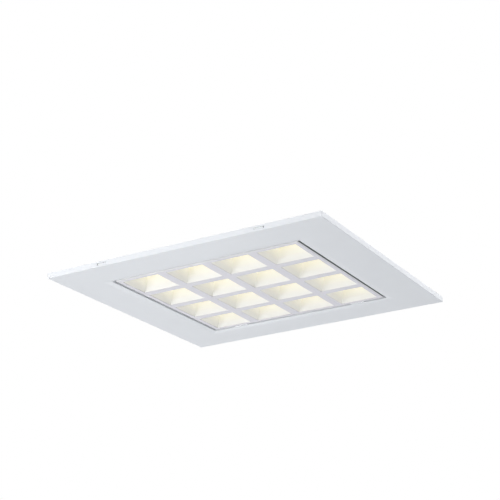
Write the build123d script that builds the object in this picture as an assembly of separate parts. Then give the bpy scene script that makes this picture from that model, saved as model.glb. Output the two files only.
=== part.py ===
from build123d import *
import os

# Recessed lay-in ceiling luminaire with a square grid of sixteen reflector cells.
# Millimetres. +Z points up into the ceiling void, z = 0 is the visible underside of the
# trim panel, and x = y = 0 is its centre. The front is -Y.

# ---- trim panel: one folded steel sheet -------------------------------------------------
panel_sheet = 1.0            # sheet thickness
trim_width = 79.0            # flat border between the panel's edge and the bevel
rim_height = 11.2            # upturned outer rim
rim_bend = 1.6               # outside radius of the rim's fold
bevel_width = 11.5           # shallow bevel that frames the opening
bevel_rise = 1.8             # how far the bevel climbs
collar_height = 12.0         # upturned collar round the opening, above the bevel
unit_gap = 5.0               # open gap between the collar and the light unit

# ---- light unit: louvre frame and reflector cells ---------------------------------------
cell_count = 4               # cells along each side
cell_mouth = 82.5            # clear mouth of one cell
bar_width = 18.0             # louvre bar between two mouths
face_border = 10.0           # louvre face outside the outer mouths
face_recess = 1.8            # louvre face above the panel's underside
face_sheet = 1.2             # thickness of the louvre face
skirt_wall = 1.5             # wall of the frame's skirt
skirt_edge = 1.0             # rounding of the skirt's lower edge
cell_depth = 30.0            # mouth to throat
cell_throat = 41.0           # clear width where the light enters
wall_bow = 2.0               # how far the reflector wall bows out of its chord
reflector_wall = 0.9         # reflector wall, measured level
lip_width = 3.8              # lip round the mouth that sits on the louvre face
lip_thickness = 1.0
lip_corner = 5.0             # cut corner of the lip, beside the frame's bosses
seat_width = 2.5             # seat round the throat that carries the lens
seat_thickness = 1.0
boss_radius = 3.2            # screw boss of the louvre frame
boss_bite = 0.7              # how far an edge boss grows into the skirt
pilot_depth = 14.0           # screw hole in a boss
pilot_slack = 0.05           # that hole larger than the screw, on radius

# ---- lenses, light boards and the plate that carries them -------------------------------
lens_thickness = 2.0
lens_drop = 3.5              # dome of the lens below its plate
lens_dome_radius = 17.0      # radius of the dome's rim
lens_web = 14.0              # width of the web from lens to lens
chip_air = 0.5               # air between lens and light chip
chip_side = 12.0
chip_height = 0.8
board_thickness = 1.6
board_width = 34.0
board_margin = 26.0          # board past the outer cells' centres
spreader_thickness = 1.5
spreader_inset = 1.0         # plate edge inside the skirt's outer face
screw_radius = 1.15
screw_length = 10.0
screw_slack = 0.2            # hole in a sheet larger than the screw, on radius
screw_head_radius = 2.8
screw_head_height = 1.6
screw_head_dome = 0.95       # rounding of the head's rim

# ---- swing-down hinge of the light unit -------------------------------------------------
hinge_pin_radius = 0.9
hinge_running = 0.06         # radial clearance of the turning knuckle
hinge_seated = 0.03          # radial clearance of the fixed ears
knuckle_wall = 1.0
knuckle_length = 14.0
ear_length = 8.0
hinge_side_gap = 0.4         # knuckle to ear, along the pin
hinge_spacing = 280.0        # hinge to hinge
bracket_thickness = 1.1
bracket_fold = 6.0           # bracket folded over the collar's top edge
strap_height = 16.0          # strap that carries the knuckle, up the skirt
strap_thickness = 0.5
strap_length = 30.0

# ---- magnetic catches at the front ------------------------------------------------------
magnet_length = 34.0
magnet_width = 14.0
magnet_spacing = 280.0
magnet_inset = 22.0          # magnet's centre behind the skirt
catch_air = 0.3              # magnet to strike plate, closed
strike_thickness = 1.0
strike_margin = 3.0          # strike plate past the magnet, all round

# ---- housing pan ------------------------------------------------------------------------
pan_sheet = 0.8
pan_offset = 3.5             # pan wall outside the bevel, at the bottom
pan_flange = 16.0            # flange that lies on the panel
pan_taper = 13.0             # each wall leans in by this much
pan_headroom = 6.6           # light unit's top plate to the pan's ceiling
rib_height = 2.0             # stiffening beads on the pan's top
rib_width = 9.0
rib_length = 300.0
rib_offset = 118.0           # bead's distance from the centre line
stud_radius = 2.0
stud_height = 7.0
stud_offset = 120.0          # stud's distance from the middle of its side
nut_radius = 3.9
nut_height = 3.2
nut_slack = 0.05

# ---- sliding lugs that lock over the ceiling grid ---------------------------------------
lug_slot_outer = 181.3       # outer end of the rim's slot, from the centre line
lug_slot_length = 21.0
lug_slot_bottom = 3.6
lug_slot_height = 4.0
lug_width = 18.0
lug_thickness = 3.2
lug_end_gap = 0.5            # lug to the slot's inner end
lug_set_back = 0.3           # lug's nose inside the rim's outer face
lug_travel = 12.0
lug_tab_height = 7.0
lug_tab_thickness = 2.0
lug_stop_gap = 0.5           # thumb tab to its guide, fully out
guide_length = 20.0
guide_wall = 2.2
guide_roof = 1.4
guide_running = 0.3          # lug to guide, each side
guide_rim_gap = 1.0

# ---- control gear box on top of the pan -------------------------------------------------
gear_sheet = 0.8
gear_back_shift = 15.0       # box centre behind the fitting's centre
wiring_space = 42.0          # room for the supply wires
terminal_depth = 22.0
terminal_width = 45.0
terminal_height = 17.0
terminal_edge = 1.0          # rounding of the block's top edges
driver_gap = 8.0
driver_length = 140.0
driver_width = 70.0
driver_height = 27.0
driver_end_gap = 24.0        # room for the lamp leads' bush
driver_side_gap = 18.0
gear_headroom = 8.0          # driver to the top of the box
cover_air = 0.3              # cover to the box, all round
cover_skirt = 7.0
cover_pin_radius = 1.0
cover_knuckle_wall = 1.0
cover_hinge_length = 16.0
cover_ear_length = 9.0
cover_hinge_spacing = 150.0
gear_screw_inset = 9.0
driver_sheet = 1.0
driver_lid_sheet = 0.8
driver_board_lift = 4.0
driver_board_margin = 3.0
driver_post_radius = 2.0
transformer_length = 30.0
transformer_width = 26.0
transformer_height = 18.0
transformer_corner = 2.0
capacitor_radius = 6.0
capacitor_height = 15.0
capacitor_inset = 30.0       # from either end of the driver
capacitor_spread = 17.5      # the far pair, each side of the middle
button_length = 6.0
button_width = 5.0
button_proud = 3.0
button_in_body = 6.0
button_travel = 2.5
button_edge = 0.8            # rounding of a button's top edges
button_running = 0.3
port_radius = 1.6
port_depth = 9.0
port_height = 5.0            # port's centre above the block's foot
terminal_pitch = 14.0
earth_post_radius = 2.5
earth_post_height = 9.0
earth_wall_gap = 10.0        # post's centre from the back wall
earth_washer_radius = 5.5
earth_washer_thickness = 1.2
earth_wire_gap = 1.0         # room for the wire under the washer
entry_radius = 11.0          # hole for the supply cable's grommet
entry_floor_gap = 0.5        # grommet's lip above the box's floor
grommet_bore = 6.5
grommet_lip = 2.5
grommet_lip_thickness = 2.0
bush_hole = 8.0              # hole for the lamp leads, through box and pan
bush_bore = 5.0
bush_lip = 2.0
bush_lip_thickness = 1.5

# ---- hanger brackets --------------------------------------------------------------------
hanger_sheet = 1.6
hanger_width = 30.0
hanger_foot = 18.0
hanger_tab = 32.0
hanger_rise = 16.0
hanger_slot_radius = 5.5
hanger_slot_length = 20.0
hanger_edge = 8.0            # foot inside the pan's top edge
hanger_y = 140.0

# ---- sizes worked out from the values above ---------------------------------------------
cell_pitch = cell_mouth + bar_width
unit_half = (cell_count * cell_pitch - bar_width) / 2 + face_border
collar_half = unit_half + unit_gap
bevel_half = collar_half + bevel_width
panel_half = bevel_half + trim_width
collar_top = bevel_rise + collar_height

face_top = face_recess + face_sheet
throat_z = face_top + cell_depth
lens_top = throat_z + lens_thickness
chip_z = lens_top + chip_air
board_z = chip_z + chip_height
spreader_z = board_z + board_thickness
unit_top = spreader_z + spreader_thickness
pan_ceiling = unit_top + pan_headroom
pan_top = pan_ceiling + pan_sheet
pan_half_low = bevel_half + pan_offset
pan_half_top = pan_half_low - pan_taper
pan_flange_half = pan_half_low + pan_flange

pilot_radius = screw_radius + pilot_slack
sheet_hole_radius = screw_radius + screw_slack
knuckle_radius = hinge_pin_radius + knuckle_wall
hinge_y = unit_half + unit_gap / 2
hinge_z = face_recess + knuckle_radius

gear_length = (wiring_space + terminal_depth + driver_gap + driver_length
               + driver_end_gap + 2 * gear_sheet)
gear_width = driver_width + 2 * driver_side_gap + 2 * gear_sheet
gear_floor = pan_top + gear_sheet
gear_top = gear_floor + driver_height + gear_headroom
gear_left = -gear_length / 2 + gear_sheet
terminal_x = gear_left + wiring_space
driver_x = terminal_x + terminal_depth + driver_gap
bush_x = driver_x + driver_length + driver_end_gap / 2
entry_z = gear_floor + entry_floor_gap + grommet_lip + entry_radius

cell_places = [(i - (cell_count - 1) / 2) * cell_pitch for i in range(cell_count)]


# ---- shape helpers ----------------------------------------------------------------------
def block(x0, x1, y0, y1, z0, z1):
    """Box between two corners."""
    middle = Pos((x0 + x1) / 2, (y0 + y1) / 2, (z0 + z1) / 2)
    return middle * Box(x1 - x0, y1 - y0, z1 - z0)


def slab(half, z0, z1):
    """Square block about the fitting's centre."""
    return block(-half, half, -half, half, z0, z1)


def tapered(half0, z0, half1, z1):
    """Square block whose four walls lean."""
    low = Pos(0, 0, z0) * Rectangle(2 * half0, 2 * half0)
    high = Pos(0, 0, z1) * Rectangle(2 * half1, 2 * half1)
    return loft([low.face(), high.face()], ruled=True)


def rod(x, y, z0, z1, radius):
    """Upright round bar."""
    return Pos(x, y, (z0 + z1) / 2) * Cylinder(radius, z1 - z0)


def rod_x(x0, x1, y, z, radius):
    """Round bar along X."""
    return Pos((x0 + x1) / 2, y, z) * Rot(0, 90, 0) * Cylinder(radius, x1 - x0)


def save(name, *pieces):
    """Write one node; a node of like fasteners holds several solids."""
    solids = [solid for piece in pieces for solid in piece.solids()]
    shape = solids[0] if len(solids) == 1 else Compound(solids)
    export_step(shape, "parts/" + name + ".step")


# ---- trim panel -------------------------------------------------------------------------
def lug_slot(side_x, side_y):
    """Cutter for one slot in the front or back rim."""
    x_inner = side_x * (lug_slot_outer - lug_slot_length)
    x_outer = side_x * lug_slot_outer
    y_inner = side_y * (panel_half - 3 * panel_sheet)
    y_outer = side_y * (panel_half + panel_sheet)
    return block(min(x_inner, x_outer), max(x_inner, x_outer),
                 min(y_inner, y_outer), max(y_inner, y_outer),
                 lug_slot_bottom, lug_slot_bottom + lug_slot_height)


def trim_panel():
    """Folded tray with a bevel and a collar round its square opening."""
    tray = slab(panel_half, 0, rim_height)
    tray = fillet(tray.edges().filter_by(Axis.Z) + tray.faces().sort_by(Axis.Z)[0].edges(), rim_bend)
    hollow = slab(panel_half - panel_sheet, panel_sheet, rim_height + panel_sheet)
    inner_bend = rim_bend - panel_sheet
    if inner_bend > 0:
        hollow = fillet(hollow.edges().filter_by(Axis.Z)
                        + hollow.faces().sort_by(Axis.Z)[0].edges(), inner_bend)
    bevel_back = tapered(bevel_half + panel_sheet, panel_sheet / 2,
                         collar_half + panel_sheet, bevel_rise + panel_sheet)
    collar = slab(collar_half + panel_sheet, panel_sheet / 2, collar_top)
    bevel_front = tapered(bevel_half, 0, collar_half, bevel_rise)
    opening = slab(collar_half, -panel_sheet, collar_top + panel_sheet)
    slots = [lug_slot(sx, sy) for sx in (-1, 1) for sy in (-1, 1)]
    return tray - hollow + bevel_back + collar - bevel_front - opening - slots


def stud_places():
    """Two studs on each side, on the middle of the pan's flange."""
    line = (pan_half_low + pan_flange_half) / 2
    one_side = [(-stud_offset, -line), (stud_offset, -line)]
    other_sides = [(line, -stud_offset), (line, stud_offset),
                   (stud_offset, line), (-stud_offset, line),
                   (-line, stud_offset), (-line, -stud_offset)]
    return one_side + other_sides


def panel_studs():
    """Weld studs on the panel's upper face; the visible underside stays plain."""
    return [rod(x, y, panel_sheet, panel_sheet + stud_height, stud_radius) for x, y in stud_places()]


def stud_nut(x, y):
    """Hexagon nut on a stud."""
    foot = panel_sheet + pan_sheet
    hexagon = extrude(RegularPolygon(nut_radius, 6), nut_height)
    bore = rod(0, 0, -pan_sheet, nut_height + pan_sheet, stud_radius + nut_slack)
    return Pos(x, y, foot) * (hexagon - bore)


# ---- housing pan ------------------------------------------------------------------------
def housing_pan():
    """Drawn steel pan, open downwards, with a flange that lies on the panel."""
    flange = slab(pan_flange_half, panel_sheet, panel_sheet + pan_sheet)
    shell = tapered(pan_half_low, panel_sheet, pan_half_top, pan_top)
    lean = pan_taper / (pan_top - panel_sheet)
    hollow = tapered(pan_half_low - pan_sheet + lean * panel_sheet, 0,
                     pan_half_top - pan_sheet + lean * pan_sheet, pan_ceiling)
    ribs = [block(-rib_length / 2, rib_length / 2, y - rib_width / 2, y + rib_width / 2,
                  pan_top - pan_sheet / 2, pan_top + rib_height) for y in (-rib_offset, rib_offset)]
    holes = [rod(x, y, 0, stud_height, stud_radius + nut_slack) for x, y in stud_places()]
    screws = [rod(x, y, unit_top, pan_top + pan_sheet, pilot_radius) for x, y in gear_screw_places()]
    bush = rod(bush_x, gear_back_shift, unit_top, pan_top + pan_sheet, bush_hole)
    return flange + shell + ribs - hollow - holes - screws - bush


# ---- light unit -------------------------------------------------------------------------
def boss_places():
    """Screw bosses: corners, middles of the sides, centre and the four inner crossings."""
    edge = unit_half - skirt_wall - boss_radius + boss_bite
    rim = [(x, y) for x in (-edge, 0, edge) for y in (-edge, 0, edge)]
    crossings = [(x, y) for x in (-cell_pitch, cell_pitch) for y in (-cell_pitch, cell_pitch)]
    return rim + crossings


def louvre_frame():
    """Moulded frame: louvre face with square mouths, skirt and screw bosses."""
    body = slab(unit_half, face_recess, spreader_z)
    low_edges = body.faces().sort_by(Axis.Z)[0].edges()
    body = fillet(low_edges + body.edges().filter_by(Axis.Z), skirt_edge)
    hollow = slab(unit_half - skirt_wall, face_top, unit_top)
    mouth = cell_mouth / 2
    mouths = [block(x - mouth, x + mouth, y - mouth, y + mouth, 0, face_top + face_sheet)
              for x in cell_places for y in cell_places]
    bosses = [rod(x, y, face_top, spreader_z, boss_radius) for x, y in boss_places()]
    pilots = [rod(x, y, spreader_z - pilot_depth, unit_top, pilot_radius)
              for x, y in boss_places()]
    return body - hollow - mouths + bosses - pilots


def cell_prism(mouth_half, throat_half, depth, past, reach):
    """Body whose two walls bow out from mouth to throat, extruded along Y."""
    chord = Vector(throat_half - mouth_half, depth)
    bow = Vector(chord.Y, -chord.X).normalized() * wall_bow
    middle = Vector((mouth_half + throat_half) / 2, depth / 2) + bow
    right = ThreePointArc((mouth_half, 0), (middle.X, middle.Y), (throat_half, depth))
    left = ThreePointArc((-throat_half, depth), (-middle.X, middle.Y), (-mouth_half, 0))
    roof = Polyline((throat_half, depth), (throat_half, depth + past),
                    (-throat_half, depth + past), (-throat_half, depth))
    foot = Polyline((-mouth_half, 0), (-mouth_half, -past), (mouth_half, -past), (mouth_half, 0))
    outline = make_face(right + roof + left + foot)
    return extrude(Plane.XZ * outline, amount=reach, both=True)


def cell_form(mouth_half, throat_half, depth, past):
    """Square funnel with bowed walls: where two crossed prisms meet."""
    prism = cell_prism(mouth_half, throat_half, depth, past, mouth_half + past)
    return prism & (Rot(0, 0, 90) * prism)


def reflector():
    """One reflector cell, standing on z = 0 with its mouth down."""
    mouth_half = cell_mouth / 2
    throat_half = cell_throat / 2
    shell = cell_form(mouth_half + reflector_wall, throat_half + reflector_wall, cell_depth,
                      lip_thickness)
    shell = shell & slab(cell_mouth, 0, cell_depth)
    lip = slab(mouth_half + lip_width, 0, lip_thickness)
    lip = chamfer(lip.edges().filter_by(Axis.Z), lip_corner)
    seat = slab(throat_half + seat_width, cell_depth - seat_thickness, cell_depth)
    return shell + lip + seat - cell_form(mouth_half, throat_half, cell_depth, lip_thickness)


def lens_strip(y):
    """Four domed lenses in one moulded strip, over one row of throats."""
    pad = cell_throat / 2 + seat_width
    reach = cell_places[-1]
    web = block(-reach, reach, y - lens_web / 2, y + lens_web / 2, throat_z, lens_top)
    pads = [block(x - pad, x + pad, y - pad, y + pad, throat_z, lens_top) for x in cell_places]
    ball = (lens_dome_radius ** 2 + lens_drop ** 2) / (2 * lens_drop)
    dome = Pos(0, 0, throat_z + ball - lens_drop) * Sphere(ball)
    dome = dome & slab(lens_dome_radius, throat_z - 2 * lens_drop, throat_z + lens_thickness / 2)
    return web + pads + [Pos(x, y, 0) * dome for x in cell_places]


def light_board(y):
    """Circuit board of one row, under the spreader plate."""
    reach = cell_places[-1] + board_margin
    return block(-reach, reach, y - board_width / 2, y + board_width / 2, board_z, spreader_z)


def light_chips():
    """One chip-on-board package over each lens."""
    side = chip_side / 2
    return [block(x - side, x + side, y - side, y + side, chip_z, board_z)
            for x in cell_places for y in cell_places]


def heat_spreader():
    """Aluminium plate that closes the light unit's top."""
    plate = slab(unit_half - spreader_inset, spreader_z, unit_top)
    holes = [rod(x, y, board_z, unit_top + spreader_thickness, sheet_hole_radius)
             for x, y in boss_places()]
    return plate - holes


def screw_head(x, y, seat):
    """Pan head on its seat."""
    head = rod(x, y, seat, seat + screw_head_height, screw_head_radius)
    return fillet(head.edges().group_by(Axis.Z)[-1], screw_head_dome)


def spreader_screw(x, y):
    """Pan-head screw into a boss."""
    shank = rod(x, y, unit_top - screw_length, unit_top + screw_head_height / 2, screw_radius)
    return shank + screw_head(x, y, unit_top)


# ---- swing-down hinge of the light unit -------------------------------------------------
def hinge_centres():
    """Middle of each hinge, along X."""
    return (-hinge_spacing / 2, hinge_spacing / 2)


def hinge_ear_spans(x):
    """The two fixed ears of the hinge at x."""
    inner = knuckle_length / 2 + hinge_side_gap
    return ((x - inner - ear_length, x - inner), (x + inner, x + inner + ear_length))


def unit_hinge_bracket(x):
    """Bracket hooked over the collar, with two ears for the pin."""
    bore_radius = hinge_pin_radius + hinge_seated
    (x0, x1), (x2, x3) = hinge_ear_spans(x)
    back = collar_half
    plate = block(x0, x3, back - bracket_thickness, back, hinge_z, collar_top + bracket_thickness)
    relief = block(x1, x2, back - 2 * bracket_thickness, back + bracket_thickness,
                   hinge_z - knuckle_radius, hinge_z + knuckle_radius + 4 * hinge_side_gap)
    hook = block(x0, x3, back - bracket_thickness, back + bracket_fold,
                 collar_top, collar_top + bracket_thickness)
    ears = [rod_x(a, b, hinge_y, hinge_z, knuckle_radius) for a, b in ((x0, x1), (x2, x3))]
    webs = [block(a, b, hinge_y, back, hinge_z, hinge_z + knuckle_radius)
            for a, b in ((x0, x1), (x2, x3))]
    bore = rod_x(x0 - knuckle_wall, x3 + knuckle_wall, hinge_y, hinge_z, bore_radius)
    return plate - relief + hook + ears + webs - bore


def unit_hinge_strap(x):
    """Strap on the skirt's outer face, with the turning knuckle."""
    bore_radius = hinge_pin_radius + hinge_running
    half = knuckle_length / 2
    face = unit_half
    knuckle = rod_x(x - half, x + half, hinge_y, hinge_z, knuckle_radius)
    neck = block(x - half, x + half, face, hinge_y, hinge_z - knuckle_radius / 2,
                 hinge_z + knuckle_radius)
    strap = block(x - strap_length / 2, x + strap_length / 2, face, face + strap_thickness,
                  hinge_z + knuckle_radius / 2, hinge_z + strap_height)
    bore = rod_x(x - half - knuckle_wall, x + half + knuckle_wall, hinge_y, hinge_z, bore_radius)
    return knuckle + neck + strap - bore


def unit_hinge_pin(x):
    """Pin through both ears and the knuckle."""
    (x0, _), (_, x3) = hinge_ear_spans(x)
    return rod_x(x0, x3, hinge_y, hinge_z, hinge_pin_radius)


# ---- magnetic catches -------------------------------------------------------------------
def catch_block(x, margin, z0, z1):
    """Block over the catch at x, a margin larger than the magnet."""
    y = -(unit_half - magnet_inset)
    length = magnet_length / 2 + margin
    width = magnet_width / 2 + margin
    return block(x - length, x + length, y - width, y + width, z0, z1)


def catch_magnet(x):
    """Magnet block under the pan's ceiling."""
    return catch_block(x, 0, unit_top + strike_thickness + catch_air, pan_ceiling)


def catch_strike(x):
    """Steel strike plate on the light unit."""
    return catch_block(x, strike_margin, unit_top, unit_top + strike_thickness)


# ---- sliding lugs -----------------------------------------------------------------------
def lug_span(side_x):
    """The lug's two sides, in X, from left to right."""
    inner = side_x * (lug_slot_outer - lug_slot_length + lug_end_gap)
    outer = inner + side_x * lug_width
    return min(inner, outer), max(inner, outer)


def across(side_y, near, far, x0, x1, z0, z1):
    """Block between two distances inside the front or back rim's outer face."""
    ends = sorted((side_y * (panel_half - near), side_y * (panel_half - far)))
    return block(x0, x1, ends[0], ends[1], z0, z1)


def guide_far():
    """Inner end of a lug guide, from the rim's outer face."""
    return panel_sheet + guide_rim_gap + guide_length


def grid_lug(side_x, side_y):
    """Flat lug that slides out through the rim's slot, with a thumb tab."""
    x0, x1 = lug_span(side_x)
    z0 = lug_slot_bottom + (lug_slot_height - lug_thickness) / 2
    z1 = z0 + lug_thickness
    tab_near = guide_far() + lug_travel + lug_stop_gap
    tab_far = tab_near + lug_tab_thickness
    blade = across(side_y, lug_set_back, tab_far, x0, x1, z0, z1)
    tab = across(side_y, tab_near, tab_far, x0, x1, z0, z1 + lug_tab_height)
    return blade + tab


def lug_guide(side_x, side_y):
    """Channel on the panel's upper face that carries one lug."""
    x0, x1 = lug_span(side_x)
    z0 = lug_slot_bottom + (lug_slot_height - lug_thickness) / 2 - guide_running
    z1 = z0 + lug_thickness + 2 * guide_running
    near = panel_sheet + guide_rim_gap
    side = guide_running + guide_wall
    body = across(side_y, near, guide_far(), x0 - side, x1 + side, panel_sheet, z1 + guide_roof)
    channel = across(side_y, near - guide_rim_gap, guide_far() + guide_rim_gap,
                     x0 - guide_running, x1 + guide_running, z0, z1)
    return body - channel


# ---- control gear box -------------------------------------------------------------------
def gear_box_form(grow, z0, z1):
    """Block on the gear box's outline, grown outwards by a little."""
    half_x = gear_length / 2 + grow
    half_y = gear_width / 2 + grow
    return block(-half_x, half_x, gear_back_shift - half_y, gear_back_shift + half_y, z0, z1)


def gear_screw_places():
    """Screws through the box's floor, near its corners."""
    x = gear_length / 2 - gear_screw_inset
    y = gear_width / 2 - gear_screw_inset
    return [(sx * x, gear_back_shift + sy * y) for sx in (-1, 1) for sy in (-1, 1)]


def cover_axis():
    """Height and depth of the cover's hinge line."""
    knuckle = cover_pin_radius + cover_knuckle_wall
    y = gear_back_shift + gear_width / 2 + knuckle + cover_air
    return y, gear_top + cover_air


def cover_ear_spans(x):
    """The two fixed ears of the cover hinge at x."""
    inner = cover_hinge_length / 2 + hinge_side_gap
    return ((x - inner - cover_ear_length, x - inner), (x + inner, x + inner + cover_ear_length))


def cover_hinge_centres():
    return (-cover_hinge_spacing / 2, cover_hinge_spacing / 2)


def gear_tray():
    """Folded steel box, open upwards, with hinge ears on its back wall."""
    y, z = cover_axis()
    knuckle = cover_pin_radius + cover_knuckle_wall
    wall = gear_back_shift + gear_width / 2
    box = gear_box_form(0, pan_top, gear_top)
    box = box - gear_box_form(-gear_sheet, gear_floor, gear_top + gear_sheet)
    spans = [span for x in cover_hinge_centres() for span in cover_ear_spans(x)]
    ears = [rod_x(a, b, y, z, knuckle) for a, b in spans]
    webs = [block(a, b, wall - gear_sheet / 2, y, z - 3 * knuckle, z - cover_air - gear_sheet / 2)
            for a, b in spans]
    bores = [rod_x(a - cover_air, b + cover_air, y, z, cover_pin_radius + hinge_seated)
             for a, b in spans]
    screws = [rod(sx, sy, pan_ceiling, gear_floor + gear_sheet, sheet_hole_radius)
              for sx, sy in gear_screw_places()]
    entry = rod_x(gear_left - 3 * gear_sheet, gear_left + gear_sheet, gear_back_shift,
                  entry_z, entry_radius)
    bush = rod(bush_x, gear_back_shift, pan_ceiling, gear_floor + gear_sheet, bush_hole)
    return box + webs + ears - bores - screws - entry - bush


def gear_cover():
    """Folded lid with a skirt on three sides and two knuckles at the back."""
    y, z = cover_axis()
    knuckle = cover_pin_radius + cover_knuckle_wall
    top = gear_top + cover_air
    outer = gear_box_form(cover_air + gear_sheet, top - cover_skirt, top + gear_sheet)
    inner = gear_box_form(cover_air, top - 2 * cover_skirt, top)
    back = block(-gear_length, gear_length, gear_back_shift + gear_width / 2 - gear_sheet,
                 gear_back_shift + gear_width, top - 2 * cover_skirt, top)
    tail = block(-gear_length, gear_length, gear_back_shift + gear_width / 2,
                 gear_back_shift + gear_width, top - gear_sheet, top + 2 * gear_sheet)
    half = cover_hinge_length / 2
    knuckles = [rod_x(x - half, x + half, y, z, knuckle) for x in cover_hinge_centres()]
    necks = [block(x - half, x + half, gear_back_shift + gear_width / 2 - gear_sheet, y,
                   top, top + gear_sheet) for x in cover_hinge_centres()]
    bores = [rod_x(x - half - cover_air, x + half + cover_air, y, z, cover_pin_radius + hinge_running)
             for x in cover_hinge_centres()]
    return outer - inner - back - tail + knuckles + necks - bores


def cover_hinge_pin(x):
    """Pin of one cover hinge."""
    y, z = cover_axis()
    (x0, _), (_, x3) = cover_ear_spans(x)
    return rod_x(x0, x3, y, z, cover_pin_radius)


def gear_screw(x, y):
    """Screw that holds the box to the pan."""
    shank = rod(x, y, pan_ceiling, gear_floor + screw_head_height / 2, screw_radius)
    return shank + screw_head(x, y, gear_floor)


def driver_form(shrink, z0, z1):
    """Block on the driver's outline, shrunk inwards by a little."""
    y = gear_back_shift
    return block(driver_x + shrink, driver_x + driver_length - shrink,
                 y - driver_width / 2 + shrink, y + driver_width / 2 - shrink, z0, z1)


def driver_post_places():
    """Posts under the driver's board."""
    inset = driver_sheet + driver_board_margin + driver_post_radius
    x0 = driver_x + inset
    x1 = driver_x + driver_length - inset
    y = driver_width / 2 - inset
    return [(x, gear_back_shift + sy * y) for x in (x0, x1) for sy in (-1, 1)]


def driver_case():
    """Tray of the driver, with four posts for its board."""
    top = gear_floor + driver_height - driver_lid_sheet
    body = driver_form(0, gear_floor, top)
    body = body - driver_form(driver_sheet, gear_floor + driver_sheet, top + driver_sheet)
    posts = [rod(x, y, gear_floor + driver_sheet / 2, gear_floor + driver_sheet + driver_board_lift,
                 driver_post_radius) for x, y in driver_post_places()]
    return body + posts


def driver_lid():
    """Flat lid of the driver."""
    top = gear_floor + driver_height
    return driver_form(0, top - driver_lid_sheet, top)


def driver_board_top():
    return gear_floor + driver_sheet + driver_board_lift + board_thickness


def driver_board():
    """Driver's circuit board, on the case's posts."""
    return driver_form(driver_sheet + driver_board_margin / 2, driver_board_top() - board_thickness,
                       driver_board_top())


def driver_transformer():
    """Wound transformer block on the driver's board."""
    x = driver_x + (driver_length - transformer_length) / 2
    z = driver_board_top()
    core = block(x, x + transformer_length, gear_back_shift - transformer_width / 2,
                 gear_back_shift + transformer_width / 2, z, z + transformer_height)
    return chamfer(core.edges().filter_by(Axis.Z), transformer_corner)


def driver_capacitors():
    """Three upright capacitors beside the transformer."""
    z = driver_board_top()
    near = driver_x + capacitor_inset
    far = driver_x + driver_length - capacitor_inset
    places = [(near, 0), (far, -capacitor_spread), (far, capacitor_spread)]
    return [rod(x, gear_back_shift + y, z, z + capacitor_height, capacitor_radius) for x, y in places]


def terminal_lines():
    """Middle of each of the three poles, in Y."""
    return [gear_back_shift + i * terminal_pitch for i in (-1, 0, 1)]


def button_middle():
    return terminal_x + terminal_depth / 2


def terminal_block():
    """Push-in terminal block: a wire port and a button pocket for each pole."""
    half = terminal_width / 2
    top = gear_floor + terminal_height
    body = block(terminal_x, terminal_x + terminal_depth, gear_back_shift - half,
                 gear_back_shift + half, gear_floor, top)
    body = fillet(body.faces().sort_by(Axis.Z)[-1].edges(), terminal_edge)
    ports = [rod_x(terminal_x - port_radius, terminal_x + port_depth, y, gear_floor + port_height,
                   port_radius) for y in terminal_lines()]
    length = button_length / 2 + button_running
    width = button_width / 2 + button_running
    floor = top - button_in_body - button_travel - button_running
    pockets = [block(button_middle() - length, button_middle() + length, y - width, y + width,
                     floor, top + terminal_edge) for y in terminal_lines()]
    return body - ports - pockets


def terminal_button(y):
    """Release button of one pole."""
    top = gear_floor + terminal_height
    body = block(button_middle() - button_length / 2, button_middle() + button_length / 2,
                 y - button_width / 2, y + button_width / 2, top - button_in_body, top + button_proud)
    return fillet(body.faces().sort_by(Axis.Z)[-1].edges(), button_edge)


def earth_post():
    """Earth stud with its washer, in the wiring space."""
    x = gear_left + wiring_space / 2
    y = gear_back_shift + gear_width / 2 - earth_wall_gap
    stud = rod(x, y, gear_floor, gear_floor + earth_post_height, earth_post_radius)
    washer_z = gear_floor + earth_wire_gap
    return stud + rod(x, y, washer_z, washer_z + earth_washer_thickness, earth_washer_radius)


def entry_grommet():
    """Rubber grommet in the box's left wall."""
    z = entry_z
    wall0 = gear_left - gear_sheet
    wall1 = gear_left
    hub = rod_x(wall0 - grommet_lip_thickness, wall1 + grommet_lip_thickness, gear_back_shift, z,
                entry_radius)
    outside = rod_x(wall0 - grommet_lip_thickness, wall0, gear_back_shift, z, entry_radius + grommet_lip)
    inside = rod_x(wall1, wall1 + grommet_lip_thickness, gear_back_shift, z, entry_radius + grommet_lip)
    bore = rod_x(wall0 - 2 * grommet_lip_thickness, wall1 + 2 * grommet_lip_thickness,
                 gear_back_shift, z, grommet_bore)
    return hub + outside + inside - bore


def lead_bush():
    """Rubber bush for the lamp leads, through the box's floor and the pan."""
    y = gear_back_shift
    hub = rod(bush_x, y, pan_ceiling - bush_lip_thickness, gear_floor + bush_lip_thickness, bush_hole)
    above = rod(bush_x, y, gear_floor, gear_floor + bush_lip_thickness, bush_hole + bush_lip)
    below = rod(bush_x, y, pan_ceiling - bush_lip_thickness, pan_ceiling, bush_hole + bush_lip)
    bore = rod(bush_x, y, pan_ceiling - 2 * bush_lip_thickness, gear_floor + 2 * bush_lip_thickness,
               bush_bore)
    return hub + above + below - bore


# ---- hanger brackets --------------------------------------------------------------------
def hanger_centre():
    """Slot's centre from the fitting's middle, in X."""
    return pan_half_top - hanger_edge - hanger_foot - hanger_tab / 2


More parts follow.
